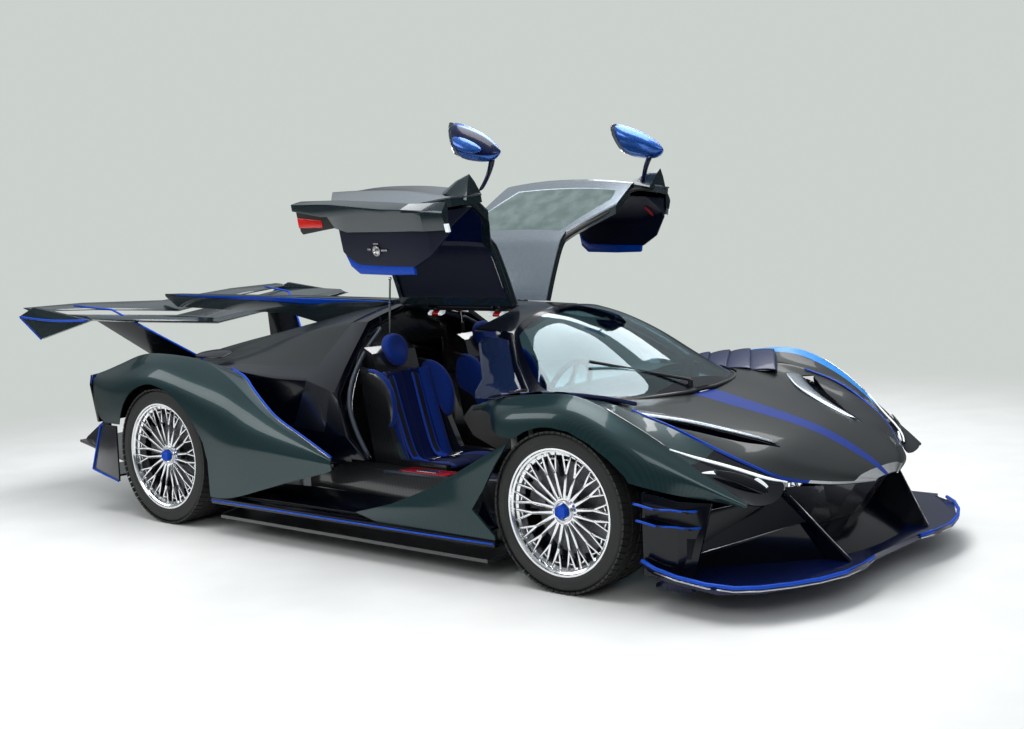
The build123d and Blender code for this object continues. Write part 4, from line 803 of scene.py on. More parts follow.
DOOR_SEAL = [(572, 125), (572, 250), (572, 400), (574, 1000), (640, 930), (744, 828), (750, 760), (752, 700),
             (872, 644), (880, 610), (838, 520)]
# The door's bright line is a painted highlight along its front edge.
DOOR_HIGHLIGHT = [(552, 180), (552, 300), (552, 400), (556, 992), (600, 950), (690, 868)]
for name, places, depth, radius, material in (("door_seal_left", DOOR_SEAL, 26, 10, RUBBER),
                                              ("door_highlight_left", DOOR_HIGHLIGHT, 34, 2.5, BRIGHT_STEEL_AND_HIGHLIGHT)):
    line = [on_door(x, height, depth) for x, height in places]
    both_doors(piping(name, line, radius, material, "door_left", both=False))
STRAP = [(752, (622, 486), (608, 486), (608, 491), (622, 491)), (766, (626, 520), (610, 520), (610, 525), (626, 525)),
         (752, (652, 566), (640, 566), (640, 571), (652, 571))]
both_doors(ring_solid("door_strap_left", stations(STRAP), [RED_CLOTH], bevel=1.5))

# ---------------------------------------------------------------- mirrors
POD_NOSE, POD_END = Vector((968, 909, 741)), Vector((704, 976, 747))
POD_WIDE, POD_HIGH = Vector((-0.352, 0.834, 0.420)), Vector((0.102, 0.482, -0.870))
POD_SIZES = [(0.0, 3, 2), (0.03, 15, 9), (0.12, 42, 24), (0.26, 66, 37), (0.42, 80, 46), (0.6, 88, 50), (0.8, 93, 51),
             (1.0, 95, 50)]
pod_rings = []
for share, wide, high in POD_SIZES:
    middle = POD_NOSE.lerp(POD_END, share)
    ring = []
    for turn in (radians(22.5 * step) for step in range(16)):
        across, up = copysign(abs(cos(turn)) ** 0.85, cos(turn)), copysign(abs(sin(turn)) ** 0.9, sin(turn))
        ring.append(tuple(middle + POD_WIDE * (wide * across) + POD_HIGH * (high * up)))
    pod_rings.append(ring)


def paint_pod(row, column):
    return 1 if 2 <= column <= 5 else 0


def oval(middle, across, up, wide, high):
    """Ring of twelve points about a middle, in the plane of two directions."""
    turns = [radians(30 * step) for step in range(12)]
    return [tuple(middle + across * (wide * cos(turn)) + up * (high * sin(turn))) for turn in turns]


both_doors(ring_solid("mirror_pod_left", pod_rings, [MIRROR_BLUE, NAVY_GLOSS], levels=1, paint=paint_pod, smooth_by=50))
pod_way = (POD_END - POD_NOSE).normalized()
glass_rings = [[tuple(Vector(point) + pod_way * push + (POD_END - Vector(point)) * shrink) for point in pod_rings[-1]]
               for push, shrink in ((-2, 0.10), (3, 0.10), (4, 0.16))]
both_doors(ring_solid("mirror_glass_left", glass_rings, [LENS], smooth_by=40))
fairing_rings = []
for share, wide, high in ((0.30, 4, 2), (0.45, 30, 10), (0.65, 42, 15), (0.85, 40, 15), (0.97, 24, 8)):
    middle = POD_NOSE.lerp(POD_END, share) + POD_HIGH * 42 - POD_WIDE * 26
    fairing_rings.append(oval(middle, POD_WIDE, POD_HIGH, wide, high))
both_doors(ring_solid("mirror_lower_fairing_left", fairing_rings, [MIRROR_BLUE], levels=1, smooth_by=50))
STALK = [((902, 880, 752), 17, 16), ((886, 846, 756), 15, 12), ((868, 806, 746), 13, 10.4), ((852, 772, 730), 12, 10.4),
         ((836, 742, 708), 14, 12)]
stalk_rings = [oval(Vector(middle), Vector((1, 0, 0)), Vector((0, 0, 1)), wide, high) for middle, wide, high in STALK]
both_doors(ring_solid("mirror_stalk_left", stalk_rings, [NAVY_GLOSS], levels=1, smooth_by=60), "door_mirror")
PRISM_FOOT = [(735, 762, 560), (735, 752, 700), (862, 728, 690), (880, 728, 565), (800, 770, 520)]
prism_rings = [PRISM_FOOT,
               [tuple(Vector(p).lerp(Vector((872, 836, 619)), 0.55) + Vector((0, 10, 0))) for p in PRISM_FOOT],
               [tuple(Vector(p).lerp(Vector((872, 838, 619)), 0.97)) for p in PRISM_FOOT]]
both_doors(ring_solid("mirror_prism_left", prism_rings, [DARK_TEAL], bevel=1.5, smooth_by=12))

# ---------------------------------------------------------------- rounded forms of flat-faced pieces
def node_form(node):
    """Copy of a CAD node's mesh in the shared frame, its parts' faces joined at their edges."""
    form = bmesh.new()
    form.from_mesh(nodes[node].data)
    form.transform(nodes[node].matrix_world)
    return joined(form, 1e-5)


def rounded(name, form, width, material):
    """Piece of a CAD node's form, its facets merged to flat faces and its corners rounded."""
    bmesh.ops.dissolve_limit(form, angle_limit=radians(1.5), verts=form.verts[:], edges=form.edges[:])
    round_edges(form, width, 24, 2)
    for face in form.faces:
        face.material_index = 0
    return sharpen(new_piece(name, form, [material]), 28)


ROUNDED_NODES = {  # node: finish, width of the rounded corners
    "front_splitter": (NAVY_GLOSS, 1.5), "front_bumper": (GLOSS_BLACK, 1.5), "side_skirts": (GLOSS_BLACK, 1.5),
    "side_blades": (TEAL, 1.5), "rear_wing": (DARK_TEAL, 1.5), "wing_supports": (GLOSS_BLACK, 1.5),
    "dorsal_fin": (DARK_TEAL, 1.5), "diffuser": (DARK_FIBRE, 1.5), "roof_frame": (GLOSS_BLACK, 1.5),
    "rear_panel": (GLOSS_BLACK, 1.5), "engine": (DARK_STEEL, 3), "intake_floors": (GLOSS_BLACK, 1.5),
    "dashboard": (SATIN_BLACK, 3), "tub": (DARK_FIBRE, 3),
}
for node, (material, width) in ROUNDED_NODES.items():
    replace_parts(rounded(node + "_form", node_form(node), width, material), node)


def linked_groups(form):
    """The form's points, in groups that edges link."""
    waiting = set(form.verts)
    while waiting:
        front = [waiting.pop()]
        group = list(front)
        while front:
            vert = front.pop()
            fresh = [edge.other_vert(vert) for edge in vert.link_edges if edge.other_vert(vert) in waiting]
            waiting.difference_update(fresh)
            front += fresh
            group += fresh
        yield group


side_lights = node_form("glazing")
for group in list(linked_groups(side_lights)):
    if min(vert.co.y for vert in group) < 0 < max(vert.co.y for vert in group):
        bmesh.ops.delete(side_lights, geom=group, context="VERTS")
rounded("side_lights", side_lights, 1, DARK_GLASS)


# ---------------------------------------------------------------- vents and headlamps
def strip(name, line_a, line_b, material, rise=0, wall=4, crown=0.5):
    """Smooth strip between two lines on both sides of the car, its middle raised, with a wall."""
    rows = []
    for a, b in zip(line_a, line_b):
        x, y, z = between(a, b, crown)
        rows.append([a, (x, y, z + rise), b])
    return panel(name, rows, [material], wall=wall, levels=2)


strip("vent_floor", moved(VENT_INSIDE, 0, -16, -46), moved(VENT_OUTSIDE, 0, 14, -40), GLOSS_BLACK, rise=-12)
strip("vent_inner_wall", moved(VENT_INSIDE, z_step=-2), moved(VENT_INSIDE, 0, -8, -48), GLOSS_BLACK, wall=3)
strip("vent_outer_wall", moved(VENT_OUTSIDE, z_step=-3), moved(VENT_OUTSIDE, 0, 8, -44), GLOSS_BLACK, wall=3)
RIDGE_TOP = [(1600, 640, 748), (1690, 556, 723), (1775, 466, 700), (1880, 416, 669), (1990, 364, 638), (2130, 332, 593)]
RIDGE_FOOT = [(1690, 672, 727), (1775, 584, 703), (1865, 500, 677), (1975, 432, 643), (2085, 374, 612),
              (2160, 342, 587)]
# The ridges' silver is a painted highlight along their crests.
strip("vent_ridge", RIDGE_TOP, RIDGE_FOOT, SILVER_PAINTED_REFLECTION, rise=9, crown=0.7)
HEADLAMP_PARTS = [  # name, finish, rise, wall, upper line, lower line
    ("upper_arms", GLOWING_WHITE, 3, 6,
     [(1955, 828, 633), (2017, 776, 604), (2088, 708, 574), (2165, 649, 543), (2241, 590, 505), (2294, 512, 475)],
     [(1962, 826, 629), (2030, 779, 595), (2104, 712, 563), (2183, 653, 530), (2256, 590, 492), (2298, 508, 473)]),
    ("lower_arms", GLOWING_WHITE, 4, 8,
     [(2222, 606, 501), (2240, 586, 479), (2252, 566, 451), (2262, 548, 417)],
     [(2212, 628, 495), (2234, 610, 471), (2250, 588, 443), (2262, 552, 411)]),
    ("wedges", GLOWING_WHITE, 3, 6,
     [(2084, 800, 544), (2104, 772, 546), (2124, 744, 546)], [(2090, 796, 538), (2112, 770, 536), (2132, 748, 530)]),
    ("pods", GLOSS_BLACK, 14, 6,
     [(2112, 754, 546), (2140, 724, 544), (2180, 684, 530), (2216, 640, 506), (2244, 598, 468)],
     [(2118, 764, 535), (2150, 742, 517), (2196, 706, 489), (2236, 656, 459), (2262, 590, 421)]),
]
for name, material, rise, wall, upper, lower in HEADLAMP_PARTS:
    strip(f"headlamp_{name}", upper, lower, material, rise, wall)
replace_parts(bpy.data.objects["headlamp_upper_arms"], "headlamps")
# A thin bright line along the fender's crest: a painted highlight.
piping("fender_ridge_painted_highlight", moved([row[3] for row in fender_rows[4:8]], z_step=2), 2, BRIGHT_STEEL_AND_HIGHLIGHT)

# ---------------------------------------------------------------- louvres on the fenders' inner slope
LOUVRE_TOPS = [(1452, 822, 818), (1312, 826, 816), (1192, 826, 806), (1074, 820, 792), (980, 806, 778)]
LOUVRE_FEET = [(1612, 566, 752), (1476, 560, 753), (1334, 566, 756), (1206, 590, 762), (1104, 620, 766)]
BLADE = [(0, 10, -8), (0, 0, 12), (0.4, 0, 13), (0.85, 0, 6), (1, 0, 1)]  # share of the way back, x step, rise
for index in range(len(LOUVRE_TOPS) - 1):
    blade_rows = []
    for share in (0.0, 0.12, 0.4, 0.7, 0.9, 1.0):
        front = Vector(LOUVRE_TOPS[index]).lerp(Vector(LOUVRE_FEET[index]), share)
        back = Vector(LOUVRE_TOPS[index + 1]).lerp(Vector(LOUVRE_FEET[index + 1]), share)
        swell = 26 * share * (1 - share)
        blade_rows.append([tuple(front.lerp(back, way) + Vector((x, 0, z + swell))) for way, x, z in BLADE])
    panel(f"fender_louvre_{index}", blade_rows, [LOUVRE_BLUE], wall=4, levels=2, creases={1: 0.5})
strip("louvre_bed", moved(LOUVRE_TOPS, 14, 4, 2), moved(LOUVRE_FEET, 14, -8, 2), GLOSS_BLACK, rise=5, wall=3)

# ---------------------------------------------------------------- blue and bright lines
CANARD_EDGE = [(-203, 986, 40), (-150, 986, 34), (-108, 976, 22), (-60, 936, 20), (-15, 903, 8), (0, 842, 4)]
for tip_x, height in ((2100, 330), (2090, 395)):
    piping(f"canard_line_{height}", moved(CANARD_EDGE, tip_x, 0, height), 5, BLUE)
SPLITTER_EDGE = [(1900, 962, 200), (1960, 962, 176), (2060, 962, 156), (2200, 966, 146), (2300, 930, 138),
                 (2369, 861, 134), (2440, 745, 131), (2492, 620, 128), (2530, 475, 126), (2535, 335, 126),
                 (2508, 215, 128)]
blue_edge = [(min(x, 2523), y - 2, z + 5) for x, y, z in SPLITTER_EDGE]
piping("splitter_blue_line", [(x, -y, z) for x, y, z in blue_edge], 8, BLUE, smooth=False, both=False)
piping("splitter_blue_line_far", blue_edge[4:], 8, BLUE, smooth=False, both=False)
bright_edge = [(min(x, 2528), y, z - 9) for x, y, z in SPLITTER_EDGE]
piping("splitter_bright_line", bright_edge[4:], 4, BRIGHT_STEEL_AND_HIGHLIGHT, smooth=False)
piping("splitter_bright_line_near", [(x, -y, z) for x, y, z in bright_edge[1:5]], 4, BRIGHT_STEEL_AND_HIGHLIGHT, smooth=False,
       both=False)
for name, line, radius in (("strake_line", [(2258, 458, 423), (2370, 403, 282), (2482, 348, 143)], 2.2),
                           ("upper_vane_line", [(2227, 454, 405), (2130, 672, 393), (2033, 901, 380)], 1.8),
                           ("upper_vane_low_line", [(2322, 412, 299), (2182, 660, 257), (2044, 908, 217)], 1.8),
                           ("lower_vane_line", [(2292, 408, 285), (2094, 634, 268), (1899, 860, 252)], 1.8)):
    piping(name, line, radius, BRIGHT_STEEL_AND_HIGHLIGHT, smooth=False)
piping("grille_line", [(2292, 0, 247), (2277, 150, 247), (2240, 285, 247), (2196, 378, 250)], 2, BRIGHT_STEEL_AND_HIGHLIGHT)
SKIRT_EDGE = [(1138, 982, 181), (900, 988, 181), (640, 992, 181), (0, 992, 181), (-500, 992, 181), (-784, 992, 181)]
piping("skirt_blue_line", SKIRT_EDGE, 4, BLUE, smooth=False)
intake_edge = [row[1] for row in quarter_rows[:7]]
piping("intake_rim_line", moved(intake_edge, 0, -4, 2), 5, BLUE)
piping("intake_rim_bright_line", moved(intake_edge, 0, 6, 1), 1.6, BRIGHT_STEEL_AND_HIGHLIGHT)
piping("bonnet_edge_line", moved([row[8] for row in bonnet_rows[3:12]], 0, -16, 1), 4, BLUE)
QUARTER_REAR = [(-2066, 640, 752), (-2068, 720, 752), (-2070, 795, 746), (-2072, 806, 720), (-2072, 808, 692)]
piping("quarter_rear_line", QUARTER_REAR, 3, BLUE, smooth=False)

# ---------------------------------------------------------------- cabin
SEAT_Y = 340
SEAT_LINE = [(448, 366), (414, 388), (310, 380), (210, 358), (150, 352), (118, 376), (98, 436), (70, 520), (40, 610),
             (14, 700), (-2, 760), (-14, 800)]
SEAT_ACROSS = [(-188, 4), (-172, 26), (-142, 30), (-116, 6), (-70, 0), (-14, 5), (0, -3), (14, 5), (70, 0), (116, 6),
               (142, 30), (172, 26), (188, 4)]
seat_rows = []
for index, (x, z) in enumerate(SEAT_LINE):
    (x0, z0), (x1, z1) = SEAT_LINE[max(index - 1, 0)], SEAT_LINE[min(index + 1, len(SEAT_LINE) - 1)]
    length = hypot(x1 - x0, z1 - z0)
    swell = 0.3 if index < 5 else 1.0
    seat_rows.append([(x + (z1 - z0) / length * (lift * swell), SEAT_Y + y, z - (x1 - x0) / length * (lift * swell))
                      for y, lift in SEAT_ACROSS])


def paint_seat(row, column):
    return 1 if 2 < column < 9 else 0


seats = panel("seat_cushions", seat_rows, [SEAT_BLUE, SEAT_DARK], wall=12, paint=paint_seat,
              creases={3: 0.8, 9: 0.8, 6: 0.7}, row_creases={4: 0.6, 7: 0.5, 9: 0.5}, levels=2)
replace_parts(seats, "seat_pads")
WING_PAD = [(-78, 640), (-84, 760), (-64, 832), (0, 838), (74, 806), (128, 742), (146, 664), (138, 586), (112, 540),
            (76, 556), (48, 620)]
WING_STEPS = [(-4, 0.72), (2, 0.95), (22, 1.02), (40, 0.96), (46, 0.74)]  # y step, share of the outline
for name, y_start, fibre_row in (("inner", 112, 9), ("outer", 524, 3)):
    rings = [at_y(y_start + y, scaled(WING_PAD, share)) for y, share in WING_STEPS]
    wings = ring_solid(f"seat_{name}_wings", rings, [SEAT_BLUE, DARK_FIBRE], "body", levels=2, mirror=True,
                       smooth_by=60, paint=lambda row, column: 1 if row >= fibre_row else 0)
HEAD_HEIGHT = 905
HEAD_STEPS = [(-88, 0.55), (-82, 0.9), (-50, 1.0), (-22, 0.97), (-12, 0.62), (-10, 0.3)]  # x, share of the outline
turns = [radians(20 * step) for step in range(18)]
head_oval = [(cos(turn) * (76 + 10 * sin(turn)), 86 * sin(turn)) for turn in turns]
rings = [[(x - rise * 0.22, SEAT_Y + y * share, HEAD_HEIGHT + rise * share) for y, rise in head_oval]
         for x, share in HEAD_STEPS]
heads = ring_solid("seat_headrests", rings, [SEAT_BLUE], "body", levels=2, mirror=True, smooth_by=60)


def on_seat(height, y):
    """Point just in front of the seat's back at a height."""
    for (x0, z0), (x1, z1) in zip(SEAT_LINE[5:], SEAT_LINE[6:]):
        if z0 <= height <= z1:
            return (x0 + (x1 - x0) * (height - z0) / (z1 - z0) + 7, y, height)


def small_pair(name, rings, material, bevel):
    """Small solid part of the body, with its copy on the other side of the car."""
    ring_solid(name, rings, [material], "body", bevel=bevel, mirror=True)


def block(x0, y0, z0, outline, half):
    """Rings of a block over an (x, z) outline about a point, half its width to each side."""
    return [[(x0 + x, y, z0 + z) for x, z in outline] for y in (y0 - half, y0 + half)]


for name, y_top, y_low in (("outer", 428, 424), ("inner", 254, 262)):
    middle = [(-40, y_top, 806), (-6, y_top, 790)]
    middle += [on_seat(z, y_top + (y_low - y_top) * (760 - z) / 340) for z in (740, 660, 580, 500, 440)]
    middle += [(134, y_low, 374), (190, y_low + 2, 368), (250, y_low + 4, 378)]
    strap_rows = [[(x, y - 27, z), (x + 2, y - 20, z + 2), (x + 2, y + 20, z + 2), (x, y + 27, z)]
                  for x, y, z in middle]
    panel(f"harness_{name}_straps", strap_rows, [SATIN_BLACK, BLUE_WEB], wall=4, levels=1,
          paint=lambda row, column: 1 if column != 1 or row > 6 else 0)
    x, y, z = middle[-1]
    buckle = block(x, y, z + 8, ((-6, -5), (44, -1), (44, 9), (-6, 7)), 24)
    small_pair(f"harness_{name}_buckles", buckle, BRIGHT_STEEL_AND_HIGHLIGHT, 4)
small_pair("harness_clasps", block(318, SEAT_Y, 386, ((-30, 0), (30, 2), (24, 16), (-24, 14)), 26), BRIGHT_STEEL_AND_HIGHLIGHT, 6)
sill_plate = [at_x(x, ((600, 376.5), (702, 376.5), (702, 379.5), (600, 379.5))) for x in (300, 602)]
small_pair("sill_plates", sill_plate, RED, 1)
sill_insert = [at_x(x, ((628, 379), (676, 379), (676, 381.4), (628, 381.4))) for x in (390, 520)]
small_pair("sill_plate_inserts", sill_insert, BRIGHT_STEEL_AND_HIGHLIGHT, 0.8)
HINGE_PAD = [(66, 1086), (76, 1066), (102, 1058), (106, 1070), (78, 1092)]
# The hinge pads' white bands glow: painted light, no lamp.
for index, x in enumerate((11, 431)):
    for part, (start, end, material) in enumerate(((-48, -24, GLOWING_WHITE), (-22, 22, RED), (24, 48, GLOWING_WHITE))):
        small_pair(f"hinge_pad_{index}_{part}", [at_x(x + start, HINGE_PAD), at_x(x + end, HINGE_PAD)], material, 2.5)
SEAL_PLACES = [(-206, 180), (-206, 300), (-205, 410), (-176, 1030), (-120, 902), (-34, 722), (68, 545), (140, 436)]
seal_side = [on_door(x, height, 53) for x, height in SEAL_PLACES]
piping("opening_seal", seal_side, 12, SLATE_RUBBER)
piping("opening_seal_line", moved(seal_side[4:], 9, -6, -6), 2, BRIGHT_STEEL_AND_HIGHLIGHT)
piping("sill_seal", [(214, 713, 369), (400, 713, 369), (660, 712, 369)], 9, SLATE_RUBBER, smooth=False)
RECESS = [(-66, 300), (240, 300), (240, 416), (-66, 416)]
combine(bpy.data.objects["roof_frame_form"], "DIFFERENCE", prism(RECESS, 625, 830), prism(RECESS, -830, -625))

# ---------------------------------------------------------------- wing and tail
SUPPORT_EDGE = [(-2332, 718, 1134), (-2180, 690, 1122), (-2030, 664, 1110), (-1545, 374, 794)]
piping("support_line", SUPPORT_EDGE, 6, BLUE, smooth=False)
KITE = [(-1787, 1080), (-2367, 1146), (-2517, 1088), (-2307, 964)]
kite_rings = [at_y(y, scaled(KITE, share)) for y, share in ((941, 1.0), (964, 1.0), (972, 0.42), (973, 0.2))]
ring_solid("end_plates", kite_rings, [DARK_TEAL], "body", bevel=1.5, mirror=True, smooth_by=8)
END_PLATE_FOLD = [(-2500, 964, 1088), (-2350, 970, 1080), (-2150, 974, 1072), (-1960, 970, 1076), (-1830, 964, 1081)]
piping("end_plate_band", END_PLATE_FOLD, 7, BLUE)
piping("end_plate_edge", [(-2515, 964, 1084), (-2309, 964, 963)], 5, BLUE, smooth=False)
FIN = [  # x, half width at the top, low, high, band's start and end as shares of the way down
    (-352, 58, 1080, 1132, 0.06, 0.62), (-905, 50, 1040, 1139, 0.06, 0.5), (-1240, 44, 1042, 1142, 0.05, 0.34),
    (-1800, 39, 1054, 1144, 0.04, 0.22), (-2290, 34, 1066, 1146, 0.03, 0.12),
]
fin_rows = []
for x, half, low, high, start, end in FIN:
    fin_rows.append([(x, half * (1 - 0.6 * share) + 2.5, high - (high - low) * share)
                     for share in (start, (start + end) / 2, end)])
panel("fin_band", fin_rows, [BLUE], wall=2, levels=1)
WINGLET_EDGE = [(-1768, 953, 501), (-1795, 953, 498), (-1906, 951, 240), (-1890, 951, 236), (-1662, 951, 190)]
piping("winglet_line", WINGLET_EDGE, 5, BLUE, smooth=False)
SCOOP = [
    (-1180, (470, 874), (520, 862), (560, 846)),
    (-1240, (462, 884), (520, 878), (570, 850)),
    (-1330, (458, 884), (515, 880), (575, 848)),
    (-1440, (480, 868), (520, 862), (560, 846)),
]
panel("cover_scoops", stations(SCOOP), [GLOSS_BLACK], wall=4, levels=2)


# ---------------------------------------------------------------- wheels
def turned(form, points, steps=96, closed=True):
    """Ring turned about the Y axis through (radius, y) points in millimetres."""
    verts = [form.verts.new(Vector((radius, y, 0)) * MM) for radius, y in points]
    loop = verts + verts[:1] if closed else verts
    edges = [form.edges.new(pair) for pair in zip(loop, loop[1:])]
    bmesh.ops.spin(form, geom=verts + edges, cent=(0, 0, 0), axis=(0, 1, 0), angle=2 * pi, steps=steps, use_merge=True)
    return joined(form)


def beam(form, start, end, start_size, end_size):
    """Tapered bar from start to end in the wheel's plane; sizes are half its width and depth in millimetres."""
    corners = set(bmesh.ops.create_cube(form, size=2)["verts"])
    start, end = Vector(start), Vector(end)
    across = (end - start).normalized().cross(Vector((0, 1, 0))).normalized()
    for vert in corners:
        at, size = (end, end_size) if vert.co.x > 0 else (start, start_size)
        vert.co = (at + across * vert.co.z * size[0] + Vector((0, 1, 0)) * vert.co.y * size[1]) * MM
    edges = [edge for edge in form.edges if corners.issuperset(edge.verts)]
    bmesh.ops.bevel(form, geom=edges, offset=1.5 * MM, affect="EDGES", segments=2, profile=0.5, material=-1,
                    clamp_overlap=True)


def polar(radius, degree, y):
    return (radius * cos(radians(degree)), y, radius * sin(radians(degree)))


SPOKE_DEPTH = 30  # from the rim's outer edge to the spokes' face


def rim_form(seat, width):
    """Rim with a stepped lip and ten pairs of forked spokes, facing +Y."""
    form = bmesh.new()
    half = width / 2
    turned(form, [(seat + 8, half), (seat + 8, half - 8), (seat, half - 14), (seat, 14 - half), (seat + 8, 8 - half),
                  (seat + 8, -half), (seat - 8, -half), (seat - 20, 30 - half), (seat - 26, half - 60),
                  (seat - 24, half - 30), (seat - 12, half - 26), (seat - 10, half - 12), (seat - 3, half - 8),
                  (seat, half - 1)])
    face = half - SPOKE_DEPTH
    hub_y = face - 8
    turned(form, [(0.5, hub_y), (62, hub_y), (66, hub_y - 5), (64, hub_y - 34), (0.5, hub_y - 34)], 64, closed=False)
    for index in range(10):
        middle = index * 36 + 18
        for lean in (-1, 1):
            knee = polar(seat * 0.62, middle + lean * 10, face - 8)
            beam(form, polar(54, middle + lean * 7, face - 16), knee, (7.5, 11), (5.5, 9))
            beam(form, knee, polar(seat - 14, middle + lean * 14.5, face - 2), (5.5, 9), (4.5, 9))
            beam(form, knee, polar(seat - 14, middle + lean * 4.5, face - 2), (4.5, 8), (4, 8))
            beam(form, polar(seat * 0.84, middle + lean * 6.2, face - 6),
                 polar(seat * 0.86, middle + lean * 12.4, face - 6), (3, 5), (3, 5))
    return form


def tyre_form(radius, width, seat):
    """Low-profile tyre with ribs on its shoulders, about the Y axis; its tread is a piece of its own."""
    half, base = width / 2, radius - 5
    side = [(seat + 8.5, half - 14), (seat + 12, half - 6), (seat + 20, half - 2), (seat + 24, half - 2.6),
            (seat + 26, half - 0.6), (base - 34, half), (base - 30, half - 1.6), (base - 26, half - 0.8),
            (base - 16, half - 4), (base - 6, half - 13), (base, half - 26)]
    return turned(bmesh.new(), side + [(r, -y) for r, y in side[::-1]] + [(seat + 8.5, 0)], 128)


TREAD = [  # row's place and half width as shares of the tyre's, blocks, slant
    (-0.42, 0.16, 72, -6), (-0.2, 0.13, 60, 14), (0.0, 0.10, 48, 0), (0.2, 0.13, 60, -14), (0.42, 0.16, 72, 6),
]


def tread_form(radius, width):
    """Blocks of one tyre's tread: slanted middle rows and shoulder blocks."""
    form = bmesh.new()
    filled, block_height, shoulder = 0.82, 9, 0.62
    for place, share, count, slant in TREAD:
        reach = pi * radius / count * filled
        for index in range(count):
            for vert in bmesh.ops.create_cube(form, size=2)["verts"]:
                across = vert.co.y * share * width / 2
                round_way = vert.co.x * reach + across * slant / 20
                drop = 0 if vert.co.z > 0 else block_height
                fall = 9 * max(abs(place * width + across) / (width / 2) - shoulder, 0) ** 1.5
                turn = radians(360 / count * index) + round_way / radius
                r = radius - drop - fall
                vert.co = Vector((r * cos(turn), place * width + across, r * sin(turn))) * MM
    return form


def disc_form(y):
    """Brake disc with a stepped bell."""
    return turned(bmesh.new(), [(195, y + 15), (193, y + 17), (112, y + 17), (108, y + 12), (70, y + 12), (70, y + 36),
                                (40, y + 38), (40, y - 12), (112, y - 17), (193, y - 17), (195, y - 15)])


def nut_form(y):
    """Six-sided centre-lock nut with a dished end."""
    form = bmesh.new()
    bmesh.ops.create_cone(form, cap_ends=True, segments=6, radius1=34 * MM, radius2=29 * MM, depth=30 * MM)
    bmesh.ops.rotate(form, matrix=Matrix.Rotation(radians(-90), 3, "X"), verts=form.verts[:])
    bmesh.ops.translate(form, vec=(0, (y + 10) * MM, 0), verts=form.verts[:])
    front = max(form.faces, key=lambda face: face.calc_center_median().y)
    bmesh.ops.inset_individual(form, faces=[front], thickness=8 * MM, depth=-7 * MM)
    bmesh.ops.bevel(form, geom=form.edges[:], offset=1.2 * MM, affect="EDGES", segments=2, profile=0.5, material=-1)
    return form


def ring_form(r_in, r_out, y0, y1):
    return turned(bmesh.new(), [(r_in, y0), (r_out, y0), (r_out, y1 - 2), (r_out - 2, y1), (r_in + 2, y1),
                                (r_in, y1 - 2)], 64)


WHEELS = {  # axle's x and height, wheel's y, tyre's width, seat's radius, rim's width
    "front": (*FRONT_AXLE, 815, 255, 262, 242), "rear": (*REAR_AXLE, 792.5, 325, 275, 312),
}
DISC_DEPTH = 127  # from the rim's outer edge to the disc's middle
for end, (axle_x, radius, wheel_y, tyre_width, seat, rim_width) in WHEELS.items():
    face = rim_width / 2 - SPOKE_DEPTH
    for what, form, material in (("rim", rim_form(seat, rim_width), POLISHED),
                                 ("tyre", tyre_form(radius, tyre_width, seat), RUBBER),
                                 ("tread", tread_form(radius, tyre_width), RUBBER),
                                 ("disc", disc_form(rim_width / 2 - DISC_DEPTH), DARK_STEEL),
                                 ("nut", nut_form(face - 4), BLUE),
                                 ("nut_ring", ring_form(36, 46, face - 10, face + 2), BRIGHT_STEEL_AND_HIGHLIGHT)):
        for side, sign in (("left", 1), ("right", -1)):
            copy = form.copy()
            bmesh.ops.scale(copy, vec=(1, sign, 1), verts=copy.verts[:])
            bmesh.ops.translate(copy, vec=Vector((axle_x, sign * wheel_y, radius)) * MM, verts=copy.verts[:])
            piece = new_piece(f"{end}_{what}_{side}_form", outward(copy), [material], f"{end}_wheel_{side}")
            sharpen(piece, 35)
            if what in ("rim", "tyre", "disc"):
                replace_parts(piece, f"{end}_{what}_{side}")
        form.free()

# ---------------------------------------------------------------- studio
CAMERA_AT = Vector((5.2208, -5.4669, 1.6437))
YAW, PITCH, ROLL = radians(131.217), radians(6.557), radians(-2.794)
ahead = Vector((cos(YAW) * cos(PITCH), sin(YAW) * cos(PITCH), -sin(PITCH)))
level = ahead.cross(Vector((0, 0, 1))).normalized()
upward = level.cross(ahead)
right = level * cos(ROLL) + upward * sin(ROLL)
top = upward * cos(ROLL) - level * sin(ROLL)
camera = bpy.data.objects.new("camera", bpy.data.cameras.new("camera"))
camera.data.sensor_width = 36
camera.data.lens = 51.18
camera.data.clip_end = 100
camera.matrix_world = Matrix.Translation(CAMERA_AT) @ Matrix((right, top, -ahead)).transposed().to_4x4()
bpy.context.scene.camera = show(camera)
WALL = (0.60, 0.64, 0.61)


def fade_to_wall(material, near, far):
    """The floor's far part takes on the wall's tone, so that the two meet softly."""
    reach = add(material, "VectorMath", operation="LENGTH")
    span = add(material, "MapRange", interpolation_type="SMOOTHSTEP", from_min=near, from_max=far)
    strength = add(material, "MapRange", to_min=0.15, to_max=1.0)
    glow = add(material, "Emission", color=(*WALL, 1))
    link(material, add(material, "LightPath").outputs["Is Camera Ray"], strength.inputs["Value"])
    link(material, strength.outputs["Result"], glow.inputs["Strength"])
    link(material, add(material, "TexCoord").outputs["Object"], reach.inputs[0])
    link(material, reach.outputs["Value"], span.inputs["Value"])
    mixed(material, span.outputs["Result"], material.node_tree.nodes["Principled BSDF"], glow, "Material Output")


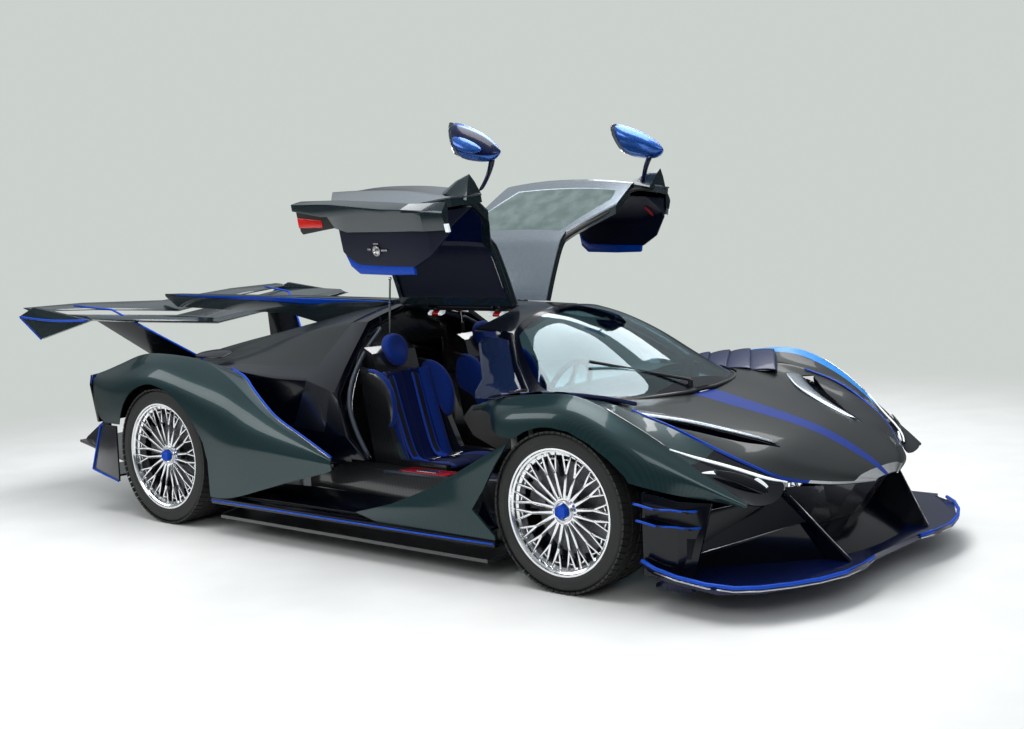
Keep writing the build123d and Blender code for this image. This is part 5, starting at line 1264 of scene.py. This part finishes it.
def mixed(holder, share, first, second, output):
    """Shows two shaders mixed by a share."""
    mix = add(holder, "MixShader")
    link(holder, share, mix.inputs["Fac"])
    link(holder, first.outputs[0], mix.inputs[1])
    link(holder, second.outputs[0], mix.inputs[2])
    link(holder, mix.outputs[0], holder.node_tree.nodes[output].inputs["Surface"])


backdrop = grained("studio_floor", (0.8, 0.8, 0.79), 0.5, 3, 0, (0.78, 0.78, 0.77), (0.82, 0.82, 0.81))
fade_to_wall(backdrop, 3.4, 7.0)
floor = show(bpy.data.objects.new("floor", bpy.data.meshes.new("floor")))
plan = bmesh.new()
bmesh.ops.create_circle(plan, cap_ends=True, cap_tris=False, segments=96, radius=14)
plan.to_mesh(floor.data)
plan.free()
floor.data.materials.append(backdrop)

world = bpy.data.worlds.new("studio")
bpy.context.scene.world = world
world.use_nodes = True
seen = world.node_tree.nodes["Background"]
seen.inputs["Color"].default_value = (*WALL, 1)
seen.inputs["Strength"].default_value = 1.0
lit = add(world, "Background", strength=1.0)
height = add(world, "SeparateXYZ")
link(world, add(world, "TexCoord").outputs["Generated"], height.inputs[0])
sky = ramp(world, height.outputs["Z"], ((0.05, 0.06, 0.065), 0.02), ((0.62, 0.66, 0.68), 0.75))
link(world, sky, lit.inputs["Color"])
mixed(world, add(world, "LightPath").outputs["Is Camera Ray"], lit, seen, "World Output")


def lamp(name, at, aim, size, watts):
    light = bpy.data.objects.new(name, bpy.data.lights.new(name, "AREA"))
    light.data.shape = "RECTANGLE"
    light.data.size, light.data.size_y = size
    light.data.energy = watts
    turn = (Vector(aim) - Vector(at)).to_track_quat("-Z", "Y").to_matrix().to_4x4()
    light.matrix_world = Matrix.Translation(at) @ turn
    show(light)


lamp("overhead", (0.3, 0, 5.5), (0, 0, 0), (6, 3), 360)
lamp("front_side", (5.5, -6, 4.2), (0, 0, 0.6), (4, 2), 90)
lamp("rear_side", (-5, -5, 3.4), (-0.5, 0, 0.6), (4, 2), 90)
lamp("far_side", (-1.2, 4.6, 5.0), (0.6, 0, 0.8), (3.4, 1.2), 60)
bpy.context.scene.view_settings.view_transform = "Standard"
